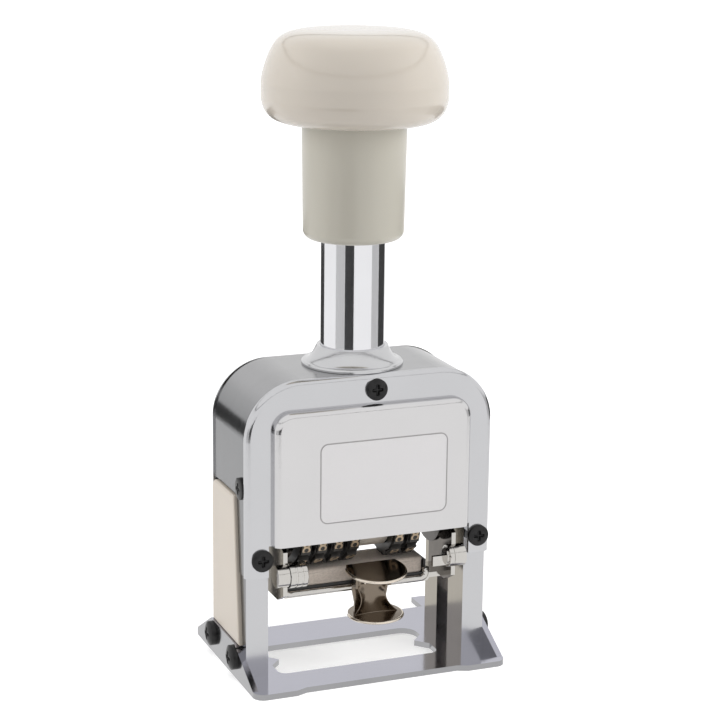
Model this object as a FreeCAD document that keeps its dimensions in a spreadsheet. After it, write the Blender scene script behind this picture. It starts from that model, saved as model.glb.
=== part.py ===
import FreeCAD, Part

import math
import os
import re
import Sketcher

# A hand numbering machine with a mushroom handle, in millimetres. +Z is up and the front faces -Y.
# Sizes along Y are counted from the handle's axis. Each kept piece is then moved along Y by its
# Placement, so that the origin ends up in the middle of the base plate's underside.

DIMENSIONS = {
    # wheels on their shaft, the row of digits that prints, and the stroke
    "print_shift": 2.1,
    "print_reach": 4.0,
    "stroke": 29.0,
    "print_gap": 0.3,
    "shaft_radius": 2.0,
    "shaft_end": 0.8,
    "shaft_nut_radius": 3.3,
    "shaft_nut_height": 1.2,
    "wheel_radius": 10.7,
    "digit_rise": 0.8,
    "digit_height": 5.0,
    "digit_width": 2.7,
    "wheel_pitch": 4.65,
    "drum_width": 3.4,
    "ratchet_width": 1.0,
    "ratchet_inset": 2.1,
    "ratchet_depth": 1.3,
    "spacer_length": 8.4,
    "spacer_inset": 2.3,
    # carriage
    "bridge_room": 13.7,
    "bridge_thickness": 4.0,
    "bridge_front_reach": 9.6,
    "bridge_back_reach": 6.2,
    "gang_room": 1.15,
    "side_plate_sheet": 1.2,
    "side_plate_front_reach": 4.8,
    "side_plate_back_reach": 1.2,
    "side_disc_inset": 1.3,
    "hub_radius": 4.6,
    "hub_length": 1.1,
    # feed lever with its pawls, and the detent comb
    "feed_arm_sheet": 0.6,
    "feed_arm_room": 1.35,
    "feed_arm_right_sheet": 1.4,
    "feed_arm_width": 4.6,
    "feed_hub_radius": 4.0,
    "feed_bar_room": 2.2,
    "feed_bar_radius": 1.2,
    "feed_angle": 128.0,
    "pawl_width": 0.6,
    "pawl_depth": 1.6,
    "detent_room": 1.5,
    "detent_radius": 0.8,
    "detent_ear_radius": 1.2,
    "detent_angle": 145.0,
    "detent_width": 0.5,
    # ink pad unit, hung from the wheel shaft
    "arm_room": 0.3,
    "arm_sheet": 1.2,
    "arm_hub_radius": 4.3,
    "arm_front_reach": 11.2,
    "arm_back_reach": 4.3,
    "roller_radius": 3.1,
    "roller_length": 2.2,
    "roller_reach": 11.0,
    "roller_drop": 10.8,
    "boss_radius": 3.4,
    "boss_length": 4.9,
    "pad_end_room": 1.95,
    "pad_front_reach": 5.8,
    "pad_back_reach": 5.7,
    "pad_height": 4.6,
    "pad_gap": 0.5,
    "holder_floor": 1.1,
    "holder_wall": 1.3,
    "holder_wall_height": 3.6,
    "tray_sheet": 1.4,
    "tray_lip": 0.8,
    "tray_end_room": 1.5,
    "bracket_height": 2.8,
    "bracket_sheet": 1.0,
    # finger tabs of the pad clip
    "tab_shift": 1.5,
    "tab_sheet": 0.8,
    "upper_tab_radius": 8.2,
    "upper_tab_reach": 4.8,
    "upper_tab_drop": 0.5,
    "upper_tab_tilt": 6.5,
    "lower_tab_radius": 7.6,
    "lower_tab_shift": 1.6,
    "lower_tab_reach": 0.8,
    "lower_tab_drop": 6.9,
    "neck_waist": 4.5,
    "neck_flare": 6.2,
    "cheek_half": 5.2,
    "cheek_sheet": 0.7,
    "clip_pin_radius": 0.6,
    "clip_pin_reach": 2.0,
    "clip_pin_rise": 3.5,
    "clip_spring_radius": 1.15,
    "clip_spring_wire": 0.25,
    "clip_spring_turns": 4.0,
    "clip_spring_half": 2.2,
    # arch
    "stud_room": 1.3,
    "post_wall": 5.7,
    "seat_depth": 0.6,
    "upper_step": 0.2,
    "wheel_room": 1.2,
    "frame_corner": 15.6,
    "inner_corner": 7.8,
    "top_bar": 8.2,
    "carriage_room": 5.2,
    "step_height": 30.0,
    "groove_front_reach": 3.0,
    "groove_back_reach": 4.5,
    # base plate with its turned-up side flanges
    "base_sheet": 1.6,
    "base_front_reach": 26.25,
    "base_back_reach": 28.15,
    "front_set_back": 1.2,
    "back_set_back": 8.1,
    "front_lobe": 11.6,
    "back_lobe": 5.6,
    "lobe_slope": 3.0,
    "base_corner": 3.0,
    "flange_height": 9.6,
    "flange_front_reach": 7.5,
    "flange_back_reach": 13.0,
    "flange_tail": 2.4,
    # print window
    "window_end_room": 5.35,
    "window_depth": 20.4,
    "pointer_reach": 3.2,
    "pointer_width": 7.0,
    "window_front_corner": 2.5,
    "window_back_corner": 4.5,
    # covers
    "frame_inset": 0.4,
    "cover_sheet": 2.0,
    "cover_round": 1.8,
    "lug_inset": 0.5,
    "panel_inset": 0.3,
    "panel_drop": 7.8,
    "panel_bottom_drop": 2.0,
    "panel_rise": 2.9,
    "panel_sheet": 1.2,
    "panel_slope": 2.3,
    "panel_corner": 5.5,
    "side_cover_sheet": 1.7,
    "side_cover_top_reach": 5.9,
    "side_cover_foot_reach": 9.8,
    "side_cover_height": 41.2,
    "side_cover_round": 3.0,
    # screws
    "screw_head": 2.95,
    "screw_rise": 1.4,
    "screw_shank": 1.4,
    "screw_length": 5.0,
    "screw_slot": 0.7,
    "screw_left_room": 2.4,
    "screw_right_room": 3.2,
    "screw_side_rise": 5.0,
    "screw_top_shift": 1.1,
    "screw_top_drop": 4.0,
    "base_screw_head": 3.4,
    "base_screw_rise": 2.0,
    "base_screw_front_reach": 7.7,
    "base_screw_back_reach": 11.2,
    "base_screw_height": 5.7,
    "flush_screw_head": 3.0,
    "flush_screw_rise": 0.3,
    "flush_screw_inset": 3.2,
    "flush_screw_height": 54.0,
    # handle and stem
    "tube_radius": 8.7,
    "tube_wall": 1.0,
    "tube_overlap": 16.2,
    "collar_radius": 13.85,
    "collar_top_radius": 9.6,
    "collar_height": 5.2,
    "collar_rim": 1.1,
    "grip_room": 0.2,
    "grip_shown": 30.5,
    "grip_hidden": 4.5,
    "grip_radius": 14.0,
    "grip_taper": 0.4,
    "grip_round": 2.4,
    "knob_radius": 24.9,
    "knob_crown": 1.2,
    "knob_crust": 7.5,
    "knob_room": 3.0,
    "knob_top_round": 13.6,
    "knob_foot_round": 7.8,
    "knob_boss": 6.5,
    "knob_boss_length": 9.0,
    "rod_radius": 4.5,
    "rod_end_cover": 1.0,
    "bush_length": 4.0,
    "spring_wire": 0.6,
    "spring_radius": 6.1,
    "spring_turns": 14.0,
    "thrust_ring_height": 2.0,
    "thrust_ring_depth": 6.0,
    "rod_nut_radius": 7.2,
    "rod_nut_height": 3.4,
    # clearances and shared allowances
    "running_gap": 0.05,
    "sliding_gap": 0.35,
    "wheel_gap": 0.125,
    "overrun": 1.0,
    "edge_round": 0.5,
}

DIGITS = 10
FULL_TURN = 360.0
WHEELS_BEFORE_SPACER = 4
WHEELS = 6
FUNCTION_WORDS = ("cos", "sin", "deg")

# Sizes that several pieces share, each worked out from the driving ones.
DERIVED = {
    # across the machine, from the wheels outward
    "print_x": "-print_shift",
    "gang_length": f"{WHEELS} * wheel_pitch + spacer_length",
    "gang_start": "print_x - gang_length / 2",
    "feed_arm_right": "print_x + gang_length / 2 + feed_arm_room",
    "side_plate_inner": "gang_length / 2 + print_shift + gang_room",
    "side_plate_outer": "side_plate_inner + side_plate_sheet",
    "arm_inner": "side_plate_outer + hub_length + arm_room",
    "arm_outer": "arm_inner + arm_sheet",
    "shaft_half": "arm_outer + shaft_end",
    "leg_inner": "arm_outer + roller_length + stud_room",
    "side_seat": "leg_inner + post_wall",
    "leg_outer": "side_seat + seat_depth",
    "frame_half": "leg_outer + upper_step",
    "cover_half": "frame_half + frame_inset",
    "body_half": "leg_outer + base_sheet",
    "panel_half": "leg_inner - panel_inset",
    "lug_inner": "leg_inner + lug_inset",
    "screw_left_x": "-(leg_inner + screw_left_room)",
    "screw_right_x": "leg_inner + screw_right_room",
    "window_low_x": "gang_start - window_end_room",
    "window_high_x": "gang_start + gang_length + window_end_room",
    "pad_half_length": "gang_length / 2 + pad_end_room",
    "tray_end": "print_x + pad_half_length + tray_end_room",
    "lower_tab_x": "tab_shift + lower_tab_shift",
    # front to back, from the wheels outward
    "print_y": "-print_reach",
    "wheel_reach": "wheel_radius + digit_rise",
    "panel_inner": "print_reach + wheel_reach + wheel_room",
    "panel_face": "panel_inner + panel_sheet",
    "plate_face": "panel_face - panel_rise",
    "frame_back": "plate_face - cover_sheet",
    "frame_front": "-frame_back",
    "base_front": "-base_front_reach",
    "base_back": "base_back_reach",
    "base_middle": "(base_front + base_back) / 2",
    "base_screw_front": "-base_screw_front_reach",
    "base_screw_back": "base_screw_back_reach",
    "flush_screw_y": "frame_front + flush_screw_inset",
    "side_cover_back": "frame_back - sliding_gap",
    "pad_front": "print_y - pad_front_reach",
    "pad_back": "print_y + pad_back_reach",
    "tray_front": "pad_front - tray_lip",
    "tray_back": "pad_back + tray_lip",
    "clip_pin_y": "tray_front - clip_pin_reach",
    "upper_tab_y": "tray_front - upper_tab_reach",
    "lower_tab_y": "tray_front - lower_tab_reach",
    "roller_y": "print_y - roller_reach",
    # upward: the wheels, the pad hung below them and the frame above
    "axle_z": "stroke + print_gap + wheel_reach",
    "roller_z": "axle_z - roller_drop",
    "pad_top": "axle_z - wheel_reach - pad_gap",
    "pad_foot": "pad_top - pad_height",
    "tray_top": "pad_foot - holder_floor",
    "tray_foot": "tray_top - tray_sheet",
    "upper_tab_z": "pad_top - upper_tab_drop",
    "lower_tab_z": "tray_foot - lower_tab_drop",
    "clip_pin_z": "tray_foot + clip_pin_rise",
    "bridge_bottom": "axle_z + wheel_reach + bridge_room",
    "bridge_top": "bridge_bottom + bridge_thickness",
    "tube_foot": "bridge_top + carriage_room",
    "frame_top": "tube_foot + top_bar",
    "panel_top": "frame_top - panel_drop",
    "panel_bottom": "axle_z - panel_bottom_drop",
    "screw_top_z": "frame_top - screw_top_drop",
    "screw_side_z": "step_height + screw_side_rise",
    "side_cover_top": "flange_height + side_cover_height",
    "grip_bottom": "frame_top + collar_height + stroke + grip_room",
    "knob_bottom": "grip_bottom + grip_shown",
    "grip_top": "knob_bottom + grip_hidden",
    "grip_foot_radius": "grip_radius - grip_taper",
    "tube_top": "grip_bottom + tube_overlap",
    "knob_ceiling": "tube_top + stroke + knob_room",
    "knob_top": "knob_ceiling + knob_crust",
    "thrust_ring_bottom": "tube_top - thrust_ring_depth",
    # round sizes that follow another
    "stem_bore": "tube_radius + running_gap",
    "tube_bore": "tube_radius - tube_wall",
    "ratchet_radius": "wheel_radius - ratchet_inset",
    "spacer_radius": "wheel_radius - spacer_inset",
    "side_disc": "wheel_radius - side_disc_inset",
    "feed_bar_reach": "wheel_reach + feed_bar_room",
    "detent_reach": "wheel_reach + detent_room",
}


doc = FreeCAD.newDocument("numbering_machine")
sheet = doc.addObject("Spreadsheet::Sheet", "Sizes")
for row, (alias, value) in enumerate(DIMENSIONS.items(), start=1):
    sheet.set(f"A{row}", alias)
    sheet.set(f"B{row}", str(value))
    sheet.setAlias(f"B{row}", alias)
doc.recompute()


def cell(match):
    """A name in an expression: a derived size written out, or a cell of the sheet."""
    name = match[0]
    if name in DERIVED:
        return f"({words(DERIVED[name])})"
    return name if name in FUNCTION_WORDS else f"Sizes.{name}"


def words(text):
    """An expression in which every name has become a cell of the sheet."""
    return re.sub(r"[a-z][a-z_]+", cell, str(text))


def size(text):
    """The present value of a size, or of an expression in sizes."""
    return float(sheet.evalExpression(words(text)))


def bind(thing, prop, text):
    """Bind one property to an expression in the sheet's aliases."""
    thing.setExpression(prop, words(text))


def plane_of(body, role):
    """One of the body's own origin planes, by its role."""
    return next(item for item in body.Origin.OriginFeatures if item.Role == role)


def new_body(label):
    body = doc.addObject("PartDesign::Body", label)
    body.Label = label
    return body


def place_sketch(body, role, offset):
    """A sketch on an origin plane, moved along its normal by an expression."""
    sketch = body.newObject("Sketcher::SketchObject", f"{body.Label}_sketch")
    sketch.AttachmentSupport = [(plane_of(body, role), "")]
    sketch.MapMode = "FlatFace"
    bind(sketch, "AttachmentOffset.Base.z", offset)
    return sketch


def pin_point(sketch, geometry, position, across, along):
    """Tie a point of the sketch to expressions for both coordinates."""
    for kind, text in (("DistanceX", across), ("DistanceY", along)):
        index = sketch.addConstraint(Sketcher.Constraint(kind, -1, 1, geometry, position, size(text)))
        bind(sketch, f"Constraints[{index}]", text)


def draw_polygon(sketch, points):
    """A closed outline through the points, each a pair of expressions."""
    places = [FreeCAD.Vector(size(a), size(b), 0) for a, b in points]
    count = len(points)
    for index in range(count):
        sketch.addGeometry(Part.LineSegment(places[index], places[(index + 1) % count]), False)
    for index in range(count):
        sketch.addConstraint(Sketcher.Constraint("Coincident", index, 2, (index + 1) % count, 1))
    for index, (across, along) in enumerate(points):
        pin_point(sketch, index, 1, across, along)


def draw_circle(sketch, across, along, radius):
    centre = FreeCAD.Vector(size(across), size(along), 0)
    index = sketch.addGeometry(Part.Circle(centre, FreeCAD.Vector(0, 0, 1), size(radius)), False)
    pin_point(sketch, index, 3, across, along)
    ring = sketch.addConstraint(Sketcher.Constraint("Radius", index, size(radius)))
    bind(sketch, f"Constraints[{ring}]", radius)


def span_on(role, low, high):
    """Offset of the sketch plane, for a pad that fills the stretch from low to high."""
    return f"-({high})" if role == "XZ_Plane" else f"{low}"


def extrude(body, role, low, high, draw, cut=False):
    """A pad, or a pocket, that fills the stretch from low to high across the plane."""
    sketch = place_sketch(body, role, span_on(role, low, high))
    draw(sketch)
    before = body.Shape.Volume if cut else 0
    kind = "PartDesign::Pocket" if cut else "PartDesign::Pad"
    feature = body.newObject(kind, f"{body.Label}_{'cut' if cut else 'pad'}")
    feature.Profile = sketch
    feature.Reversed = cut
    bind(feature, "Length", f"({high}) - ({low})")
    doc.recompute()
    if cut and not body.Shape.Volume < before:
        raise RuntimeError(f"{body.Label}: a pocket removed nothing")
    return feature


def outline(points):
    return lambda sketch: draw_polygon(sketch, points)


def disc(across, along, radius):
    return lambda sketch: draw_circle(sketch, across, along, radius)


def rectangle(x_low, x_high, y_low, y_high):
    return outline([(x_low, y_low), (x_high, y_low), (x_high, y_high), (x_low, y_high)])


def block(body, x_low, x_high, y_low, y_high, z_low, z_high, cut=False):
    """A rectangular pad or pocket given by its six sides."""
    return extrude(body, "XY_Plane", z_low, z_high, rectangle(x_low, x_high, y_low, y_high), cut)


def round_edges(body, radius, chosen, kind="PartDesign::Fillet"):
    """Round, or chamfer, the edges of the body's last shape that the test picks."""
    doc.recompute()
    tip = body.Tip
    names = [f"Edge{number}" for number, edge in enumerate(tip.Shape.Edges, start=1) if chosen(edge)]
    if not names:
        raise RuntimeError(f"{body.Label}: no edge to round")
    feature = body.newObject(kind, f"{body.Label}_round")
    feature.Base = (tip, names)
    bind(feature, "Radius" if kind.endswith("Fillet") else "Size", radius)
    doc.recompute()
    if "Invalid" in feature.State:
        raise RuntimeError(f"{body.Label}: a rounding of {radius} failed")
    return feature


def near(value, target):
    return abs(value - target) < size("running_gap")


def upright(edge):
    """Whether an edge is a straight one along Z."""
    ends = [vertex.Point for vertex in edge.Vertexes]
    return len(ends) == 2 and near(ends[0].x, ends[1].x) and near(ends[0].y, ends[1].y)


def along_y(edge):
    ends = [vertex.Point for vertex in edge.Vertexes]
    return len(ends) == 2 and near(ends[0].x, ends[1].x) and near(ends[0].z, ends[1].z)


def at_place(edge, **wanted):
    """Whether the edge's middle has the wanted coordinates, signs left aside."""
    middle = edge.CenterOfMass
    return all(near(abs(getattr(middle, axis)), abs(value)) for axis, value in wanted.items())


def circle_at(radius, height):
    """A test for a full circle about Z with this radius and height."""
    def chosen(edge):
        curve = edge.Curve
        same = isinstance(curve, Part.Circle) and near(curve.Radius, radius)
        return same and near(curve.Center.z, height) and near(abs(curve.Axis.z), 1)
    return chosen


def turned(label, points):
    """A body turned about the Z axis from an outline of radius and height pairs."""
    body = new_body(label)
    sketch = place_sketch(body, "XZ_Plane", "0")
    draw_polygon(sketch, points)
    feature = body.newObject("PartDesign::Revolution", f"{label}_turn")
    feature.Profile = sketch
    feature.ReferenceAxis = (sketch, ["V_Axis"])
    feature.Angle = FULL_TURN
    doc.recompute()
    return body


def ring_body(label, inner, outer, low, high):
    """A plain ring about the handle's axis."""
    return turned(label, [(inner, low), (outer, low), (outer, high), (inner, high)])


def primitive_cylinder(label, radius, height, base, direction="Z"):
    """A cylinder with bound sizes, from its base point, along Z, X or -X or Y or -Y."""
    turns = {
        "Z": FreeCAD.Rotation(),
        "X": FreeCAD.Rotation(FreeCAD.Vector(0, 1, 0), FULL_TURN / 4),
        "-X": FreeCAD.Rotation(FreeCAD.Vector(0, 1, 0), -FULL_TURN / 4),
        "Y": FreeCAD.Rotation(FreeCAD.Vector(1, 0, 0), -FULL_TURN / 4),
        "-Y": FreeCAD.Rotation(FreeCAD.Vector(1, 0, 0), FULL_TURN / 4),
    }
    thing = doc.addObject("Part::Cylinder", label)
    bind(thing, "Radius", radius)
    bind(thing, "Height", height)
    thing.Placement = FreeCAD.Placement(FreeCAD.Vector(0, 0, 0), turns[direction])
    for axis, text in zip("xyz", base):
        bind(thing, f"Placement.Base.{axis}", text)
    return thing


def primitive_box(label, low, high):
    """A box with bound sizes between two corners given as expressions."""
    thing = doc.addObject("Part::Box", label)
    for prop, a, b in zip(("Length", "Width", "Height"), low, high):
        bind(thing, prop, f"({b}) - ({a})")
    for axis, text in zip("xyz", low):
        bind(thing, f"Placement.Base.{axis}", text)
    return thing


def fused(label, things):
    joined = doc.addObject("Part::MultiFuse", label)
    joined.Shapes = things
    joined.Refine = True
    return joined


def cut_from(label, base, tool):
    result = doc.addObject("Part::Cut", label)
    result.Base = base
    result.Tool = tool
    result.Refine = True
    return result


def grouped(label, things):
    """Like fasteners that stay separate solids in one node."""
    group = doc.addObject("Part::Compound", label)
    group.Links = things
    return group


nodes = []


def keep(thing):
    """Make an object one of the part's nodes, its Placement moved to the part's own origin."""
    bound = next((text for path, text in thing.ExpressionEngine if path.endswith("Base.y")), "0")
    thing.setExpression("Placement.Base.y", f"({bound}) - {words('base_middle')}")
    nodes.append(thing)
    return thing


# Frame: base plate, arch with its four posts, covers and screws.

def make_base_plate():
    body = new_body("base_plate")
    front = "base_front"
    inner_front = "(base_front + front_set_back)"
    inner_back = "(base_back - back_set_back)"
    front_lobe = "(body_half - front_lobe)"
    back_lobe = "(body_half - back_lobe)"
    plan = [
        ("-body_half", front), (f"-{front_lobe}", front),
        (f"-({front_lobe} - lobe_slope)", inner_front), (f"{front_lobe} - lobe_slope", inner_front),
        (front_lobe, front), ("body_half", front), ("body_half", "base_back"), (back_lobe, "base_back"),
        (back_lobe, inner_back), (f"-{back_lobe}", inner_back), (f"-{back_lobe}", "base_back"),
        ("-body_half", "base_back"),
    ]
    extrude(body, "XY_Plane", "0", "base_sheet", outline(plan))
    half = size("body_half")
    for end in ("base_front", "base_back"):
        round_edges(body, "base_corner", lambda edge: upright(edge) and at_place(edge, x=half, y=size(end)))
    flange = [
        ("base_front + base_corner", "0"), ("base_back - base_corner", "0"),
        ("base_back - base_corner", "flange_tail"), ("flange_back_reach", "flange_height"),
        ("-flange_front_reach", "flange_height"), ("base_front + base_corner", "base_sheet"),
    ]
    extrude(body, "YZ_Plane", "body_half - base_sheet", "body_half", outline(flange))
    extrude(body, "YZ_Plane", "-body_half", "-body_half + base_sheet", outline(flange))
    low_y = "(print_y - window_depth / 2)"
    high_y = "(print_y + window_depth / 2)"
    window = [
        ("window_low_x", low_y), ("window_high_x", low_y), ("window_high_x", "print_y - pointer_width / 2"),
        ("window_high_x - pointer_reach", "print_y"), ("window_high_x", "print_y + pointer_width / 2"),
        ("window_high_x", high_y), ("window_low_x", high_y), ("window_low_x", "print_y + pointer_width / 2"),
        ("window_low_x + pointer_reach", "print_y"), ("window_low_x", "print_y - pointer_width / 2"),
    ]
    extrude(body, "XY_Plane", "-overrun", "base_sheet + overrun", outline(window), cut=True)
    for edge_y, radius in ((low_y, "window_front_corner"), (high_y, "window_back_corner")):
        line = size(edge_y)
        round_edges(body, radius, lambda edge: upright(edge) and near(edge.CenterOfMass.y, line)
                    and abs(edge.CenterOfMass.x) < size("leg_inner"))
    screw_holes(body)
    return keep(body)


def screw_holes(body):
    """Holes for the four screws that join the base plate's flanges to the posts."""
    for place in ("base_screw_front", "base_screw_back"):
        for low, high in (("body_half - screw_length", "body_half + overrun"),
                          ("-(body_half) - overrun", "-(body_half) + screw_length")):
            extrude(body, "YZ_Plane", low, high, disc(place, "base_screw_height", "screw_shank + running_gap"), cut=True)


def make_frame_arch():
    body = new_body("frame_arch")
    foot = "base_sheet"
    arch = [
        ("-leg_outer", foot), ("-leg_outer", "step_height"), ("-frame_half", "step_height"),
        ("-frame_half", "frame_top"), ("frame_half", "frame_top"), ("frame_half", "step_height"),
        ("leg_outer", "step_height"), ("leg_outer", foot), ("leg_inner", foot),
        ("leg_inner", "tube_foot"), ("-leg_inner", "tube_foot"), ("-leg_inner", foot),
    ]
    extrude(body, "XZ_Plane", "frame_front", "frame_back", outline(arch))
    half = size("frame_half")
    top = size("frame_top")
    round_edges(body, "frame_corner", lambda edge: along_y(edge) and at_place(edge, x=half, z=top))
    inner = size("leg_inner")
    inner_top = size("tube_foot")
    round_edges(body, "inner_corner", lambda edge: along_y(edge) and at_place(edge, x=inner, z=inner_top))
    for side in (1, -1):
        block(body, *sorted_ends(side, "leg_inner - overrun", "side_seat"), "-groove_front_reach", "groove_back_reach",
              "base_sheet - overrun", "bridge_top + sliding_gap", cut=True)
        extrude(body, "YZ_Plane", *sorted_ends(side, "side_seat", "frame_half + overrun"),
                outline(side_cover_recess()), cut=True)
    extrude(body, "XY_Plane", "tube_foot - overrun", "frame_top + overrun", disc("0", "0", "stem_bore"), cut=True)
    screw_holes(body)
    hole = "screw_shank + running_gap"
    for depth in (("frame_front - overrun", "frame_front + screw_length"),
                  ("frame_back - screw_length", "frame_back + overrun")):
        for place in cover_screw_places():
            extrude(body, "XZ_Plane", *depth, disc(*place, hole), cut=True)
    for side in (1, -1):
        extrude(body, "YZ_Plane", *sorted_ends(side, "frame_half - screw_length", "frame_half + overrun"),
                disc("flush_screw_y", "flush_screw_height", hole), cut=True)
    return keep(body)


def cover_screw_places():
    """The three screws of each cover plate, as X and Z."""
    return (
        ("screw_left_x", "screw_side_z"), ("screw_right_x", "screw_side_z"), ("screw_top_shift", "screw_top_z"),
    )


def side_cover_recess():
    """The recess for a side cover, with a gap around and its rounded corner cut off, as Y and Z."""
    back = "side_cover_back + sliding_gap"
    top = "side_cover_top + sliding_gap"
    return [
        ("-side_cover_foot_reach - sliding_gap", "flange_height"), ("-side_cover_top_reach - sliding_gap", top),
        (f"{back} - side_cover_round / 2", top), (back, f"{top} - side_cover_round / 2"), (back, "flange_height"),
    ]


def make_cover(label, sign):
    """A pressed cover plate: a sheet with rounded edges and a raised, hollow middle panel."""
    body = new_body(label)

    def stretch(low, high):
        return (low, high) if sign > 0 else (f"-({high})", f"-({low})")

    plate = [
        ("-cover_half", "step_height"), ("-lug_inner", "step_height"), ("-lug_inner", "panel_bottom"),
        ("lug_inner", "panel_bottom"), ("lug_inner", "step_height"), ("cover_half", "step_height"),
        ("cover_half", "frame_top"), ("-cover_half", "frame_top"),
    ]
    extrude(body, "XZ_Plane", *stretch("frame_back", "plate_face"), outline(plate))
    half = size("cover_half")
    top = size("frame_top")
    round_edges(body, "frame_corner", lambda edge: along_y(edge) and at_place(edge, x=half, z=top))
    face = size("plate_face")

    def on_rim(edge):
        centre = edge.CenterOfMass
        outside = near(abs(centre.x), half) or near(centre.z, top) or isinstance(edge.Curve, Part.Circle)
        return outside and near(abs(centre.y), face)

    round_edges(body, "cover_round", on_rim)
    panel = rectangle("-panel_half", "panel_half", "panel_bottom", "panel_top")
    extrude(body, "XZ_Plane", *stretch("frame_back", "panel_face"), panel)
    corner = {"x": size("panel_half"), "z": size("panel_top")}
    round_edges(body, "panel_corner", lambda edge: along_y(edge) and at_place(edge, **corner))
    outer = size("panel_face")
    foot = size("panel_bottom")
    round_edges(body, "panel_slope",
                lambda edge: near(abs(edge.CenterOfMass.y), outer) and not near(edge.CenterOfMass.z, foot))
    hollow = rectangle("-panel_half + panel_slope", "panel_half - panel_slope", "panel_bottom - overrun",
                       "panel_top - panel_slope")
    extrude(body, "XZ_Plane", *stretch("frame_back - overrun", "panel_inner"), hollow, cut=True)
    for place in cover_screw_places():
        extrude(body, "XZ_Plane", *stretch("frame_back - overrun", "plate_face + overrun"),
                disc(*place, "screw_shank + running_gap"), cut=True)
    return keep(body)


def make_screw(name, base, direction, head, rise, length):
    """A pan-head screw with a crossed recess, its head's underside at the base point."""
    axis = direction.strip("-")
    sign = -1 if direction.startswith("-") else 1
    opposite = axis if sign < 0 else f"-{axis}"
    slot = "XYZ".index(axis)
    cap = primitive_cylinder(f"{name}_head", head, rise, base, direction)
    shank = primitive_cylinder(f"{name}_shank", "screw_shank", length, base, opposite)
    whole = fused(f"{name}_whole", [cap, shank])
    bars = []
    for wide in [number for number in range(3) if number != slot]:
        low = []
        high = []
        for number in range(3):
            if number == slot:
                top = f"{base[number]} + {sign} * ({rise})"
                ends = [f"{top} - {sign} * screw_slot", f"{top} + {sign} * overrun"]
                ends = ends if sign > 0 else ends[::-1]
            else:
                reach = f"({head}) / 2" if number == wide else "screw_slot / 2"
                ends = [f"{base[number]} - {reach}", f"{base[number]} + {reach}"]
            low.append(ends[0])
            high.append(ends[1])
        bars.append(primitive_box(f"{name}_bar", low, high))
    return cut_from(name, whole, fused(f"{name}_cross", bars))


def make_fasteners():
    """All visible screws, each kind a group of separate solids."""
    outside = "-plate_face"
    front = [make_screw(f"front_screw_{number}", (x, outside, z), "-Y", "screw_head", "screw_rise", "screw_length")
             for number, (x, z) in enumerate(cover_screw_places())]
    keep(grouped("front_cover_screws", front))
    outside = "plate_face"
    back = [make_screw(f"back_screw_{number}", (x, outside, z), "Y", "screw_head", "screw_rise", "screw_length")
            for number, (x, z) in enumerate(cover_screw_places())]
    keep(grouped("back_cover_screws", back))
    base = []
    for side, direction in ((1, "X"), (-1, "-X")):
        for place in ("base_screw_front", "base_screw_back"):
            base.append(make_screw(f"base_screw_{len(base)}", (f"{side} * body_half", place, "base_screw_height"),
                                   direction, "base_screw_head", "base_screw_rise", "screw_length"))
    keep(grouped("base_screws", base))
    flush = [make_screw(f"flush_screw_{direction[-2:]}", (f"{side} * frame_half", "flush_screw_y", "flush_screw_height"),
                        direction, "flush_screw_head", "flush_screw_rise + screw_slot", "screw_length")
             for side, direction in ((1, "X"), (-1, "-X"))]
    keep(grouped("side_wall_screws", flush))


def make_side_cover(label, side):
    """The moulded cover that closes a groove in the frame's side."""
    body = new_body(label)
    shape = [
        ("-side_cover_foot_reach", "flange_height"), ("-side_cover_top_reach", "side_cover_top"),
        ("side_cover_back", "side_cover_top"), ("side_cover_back", "flange_height"),
    ]
    extrude(body, "YZ_Plane", *sorted_ends(side, "side_seat", "side_seat + side_cover_sheet"), outline(shape))
    back = size("side_cover_back")
    top = size("side_cover_top")
    round_edges(body, "side_cover_round", lambda edge: at_place(edge, y=back, z=top))
    outer = size("side_seat + side_cover_sheet")
    round_edges(body, "edge_round", lambda edge: near(abs(edge.CenterOfMass.x), outer))
    return keep(body)


# Stem and handle.

def make_stem():
    keep(ring_body("guide_tube", "tube_bore", "tube_radius", "tube_foot", "tube_top"))
    keep(turned("tube_collar", [
        ("stem_bore", "frame_top"), ("collar_radius", "frame_top"), ("collar_radius", "frame_top + collar_rim"),
        ("(collar_radius + collar_top_radius) / 2 - collar_rim / 2", "frame_top + collar_height / 2 - collar_rim / 2"),
        ("collar_top_radius", "frame_top + collar_height"), ("stem_bore", "frame_top + collar_height"),
    ]))
    keep(ring_body("guide_bush", "rod_radius + running_gap", "tube_bore", "tube_foot", "tube_foot + bush_length"))


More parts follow.
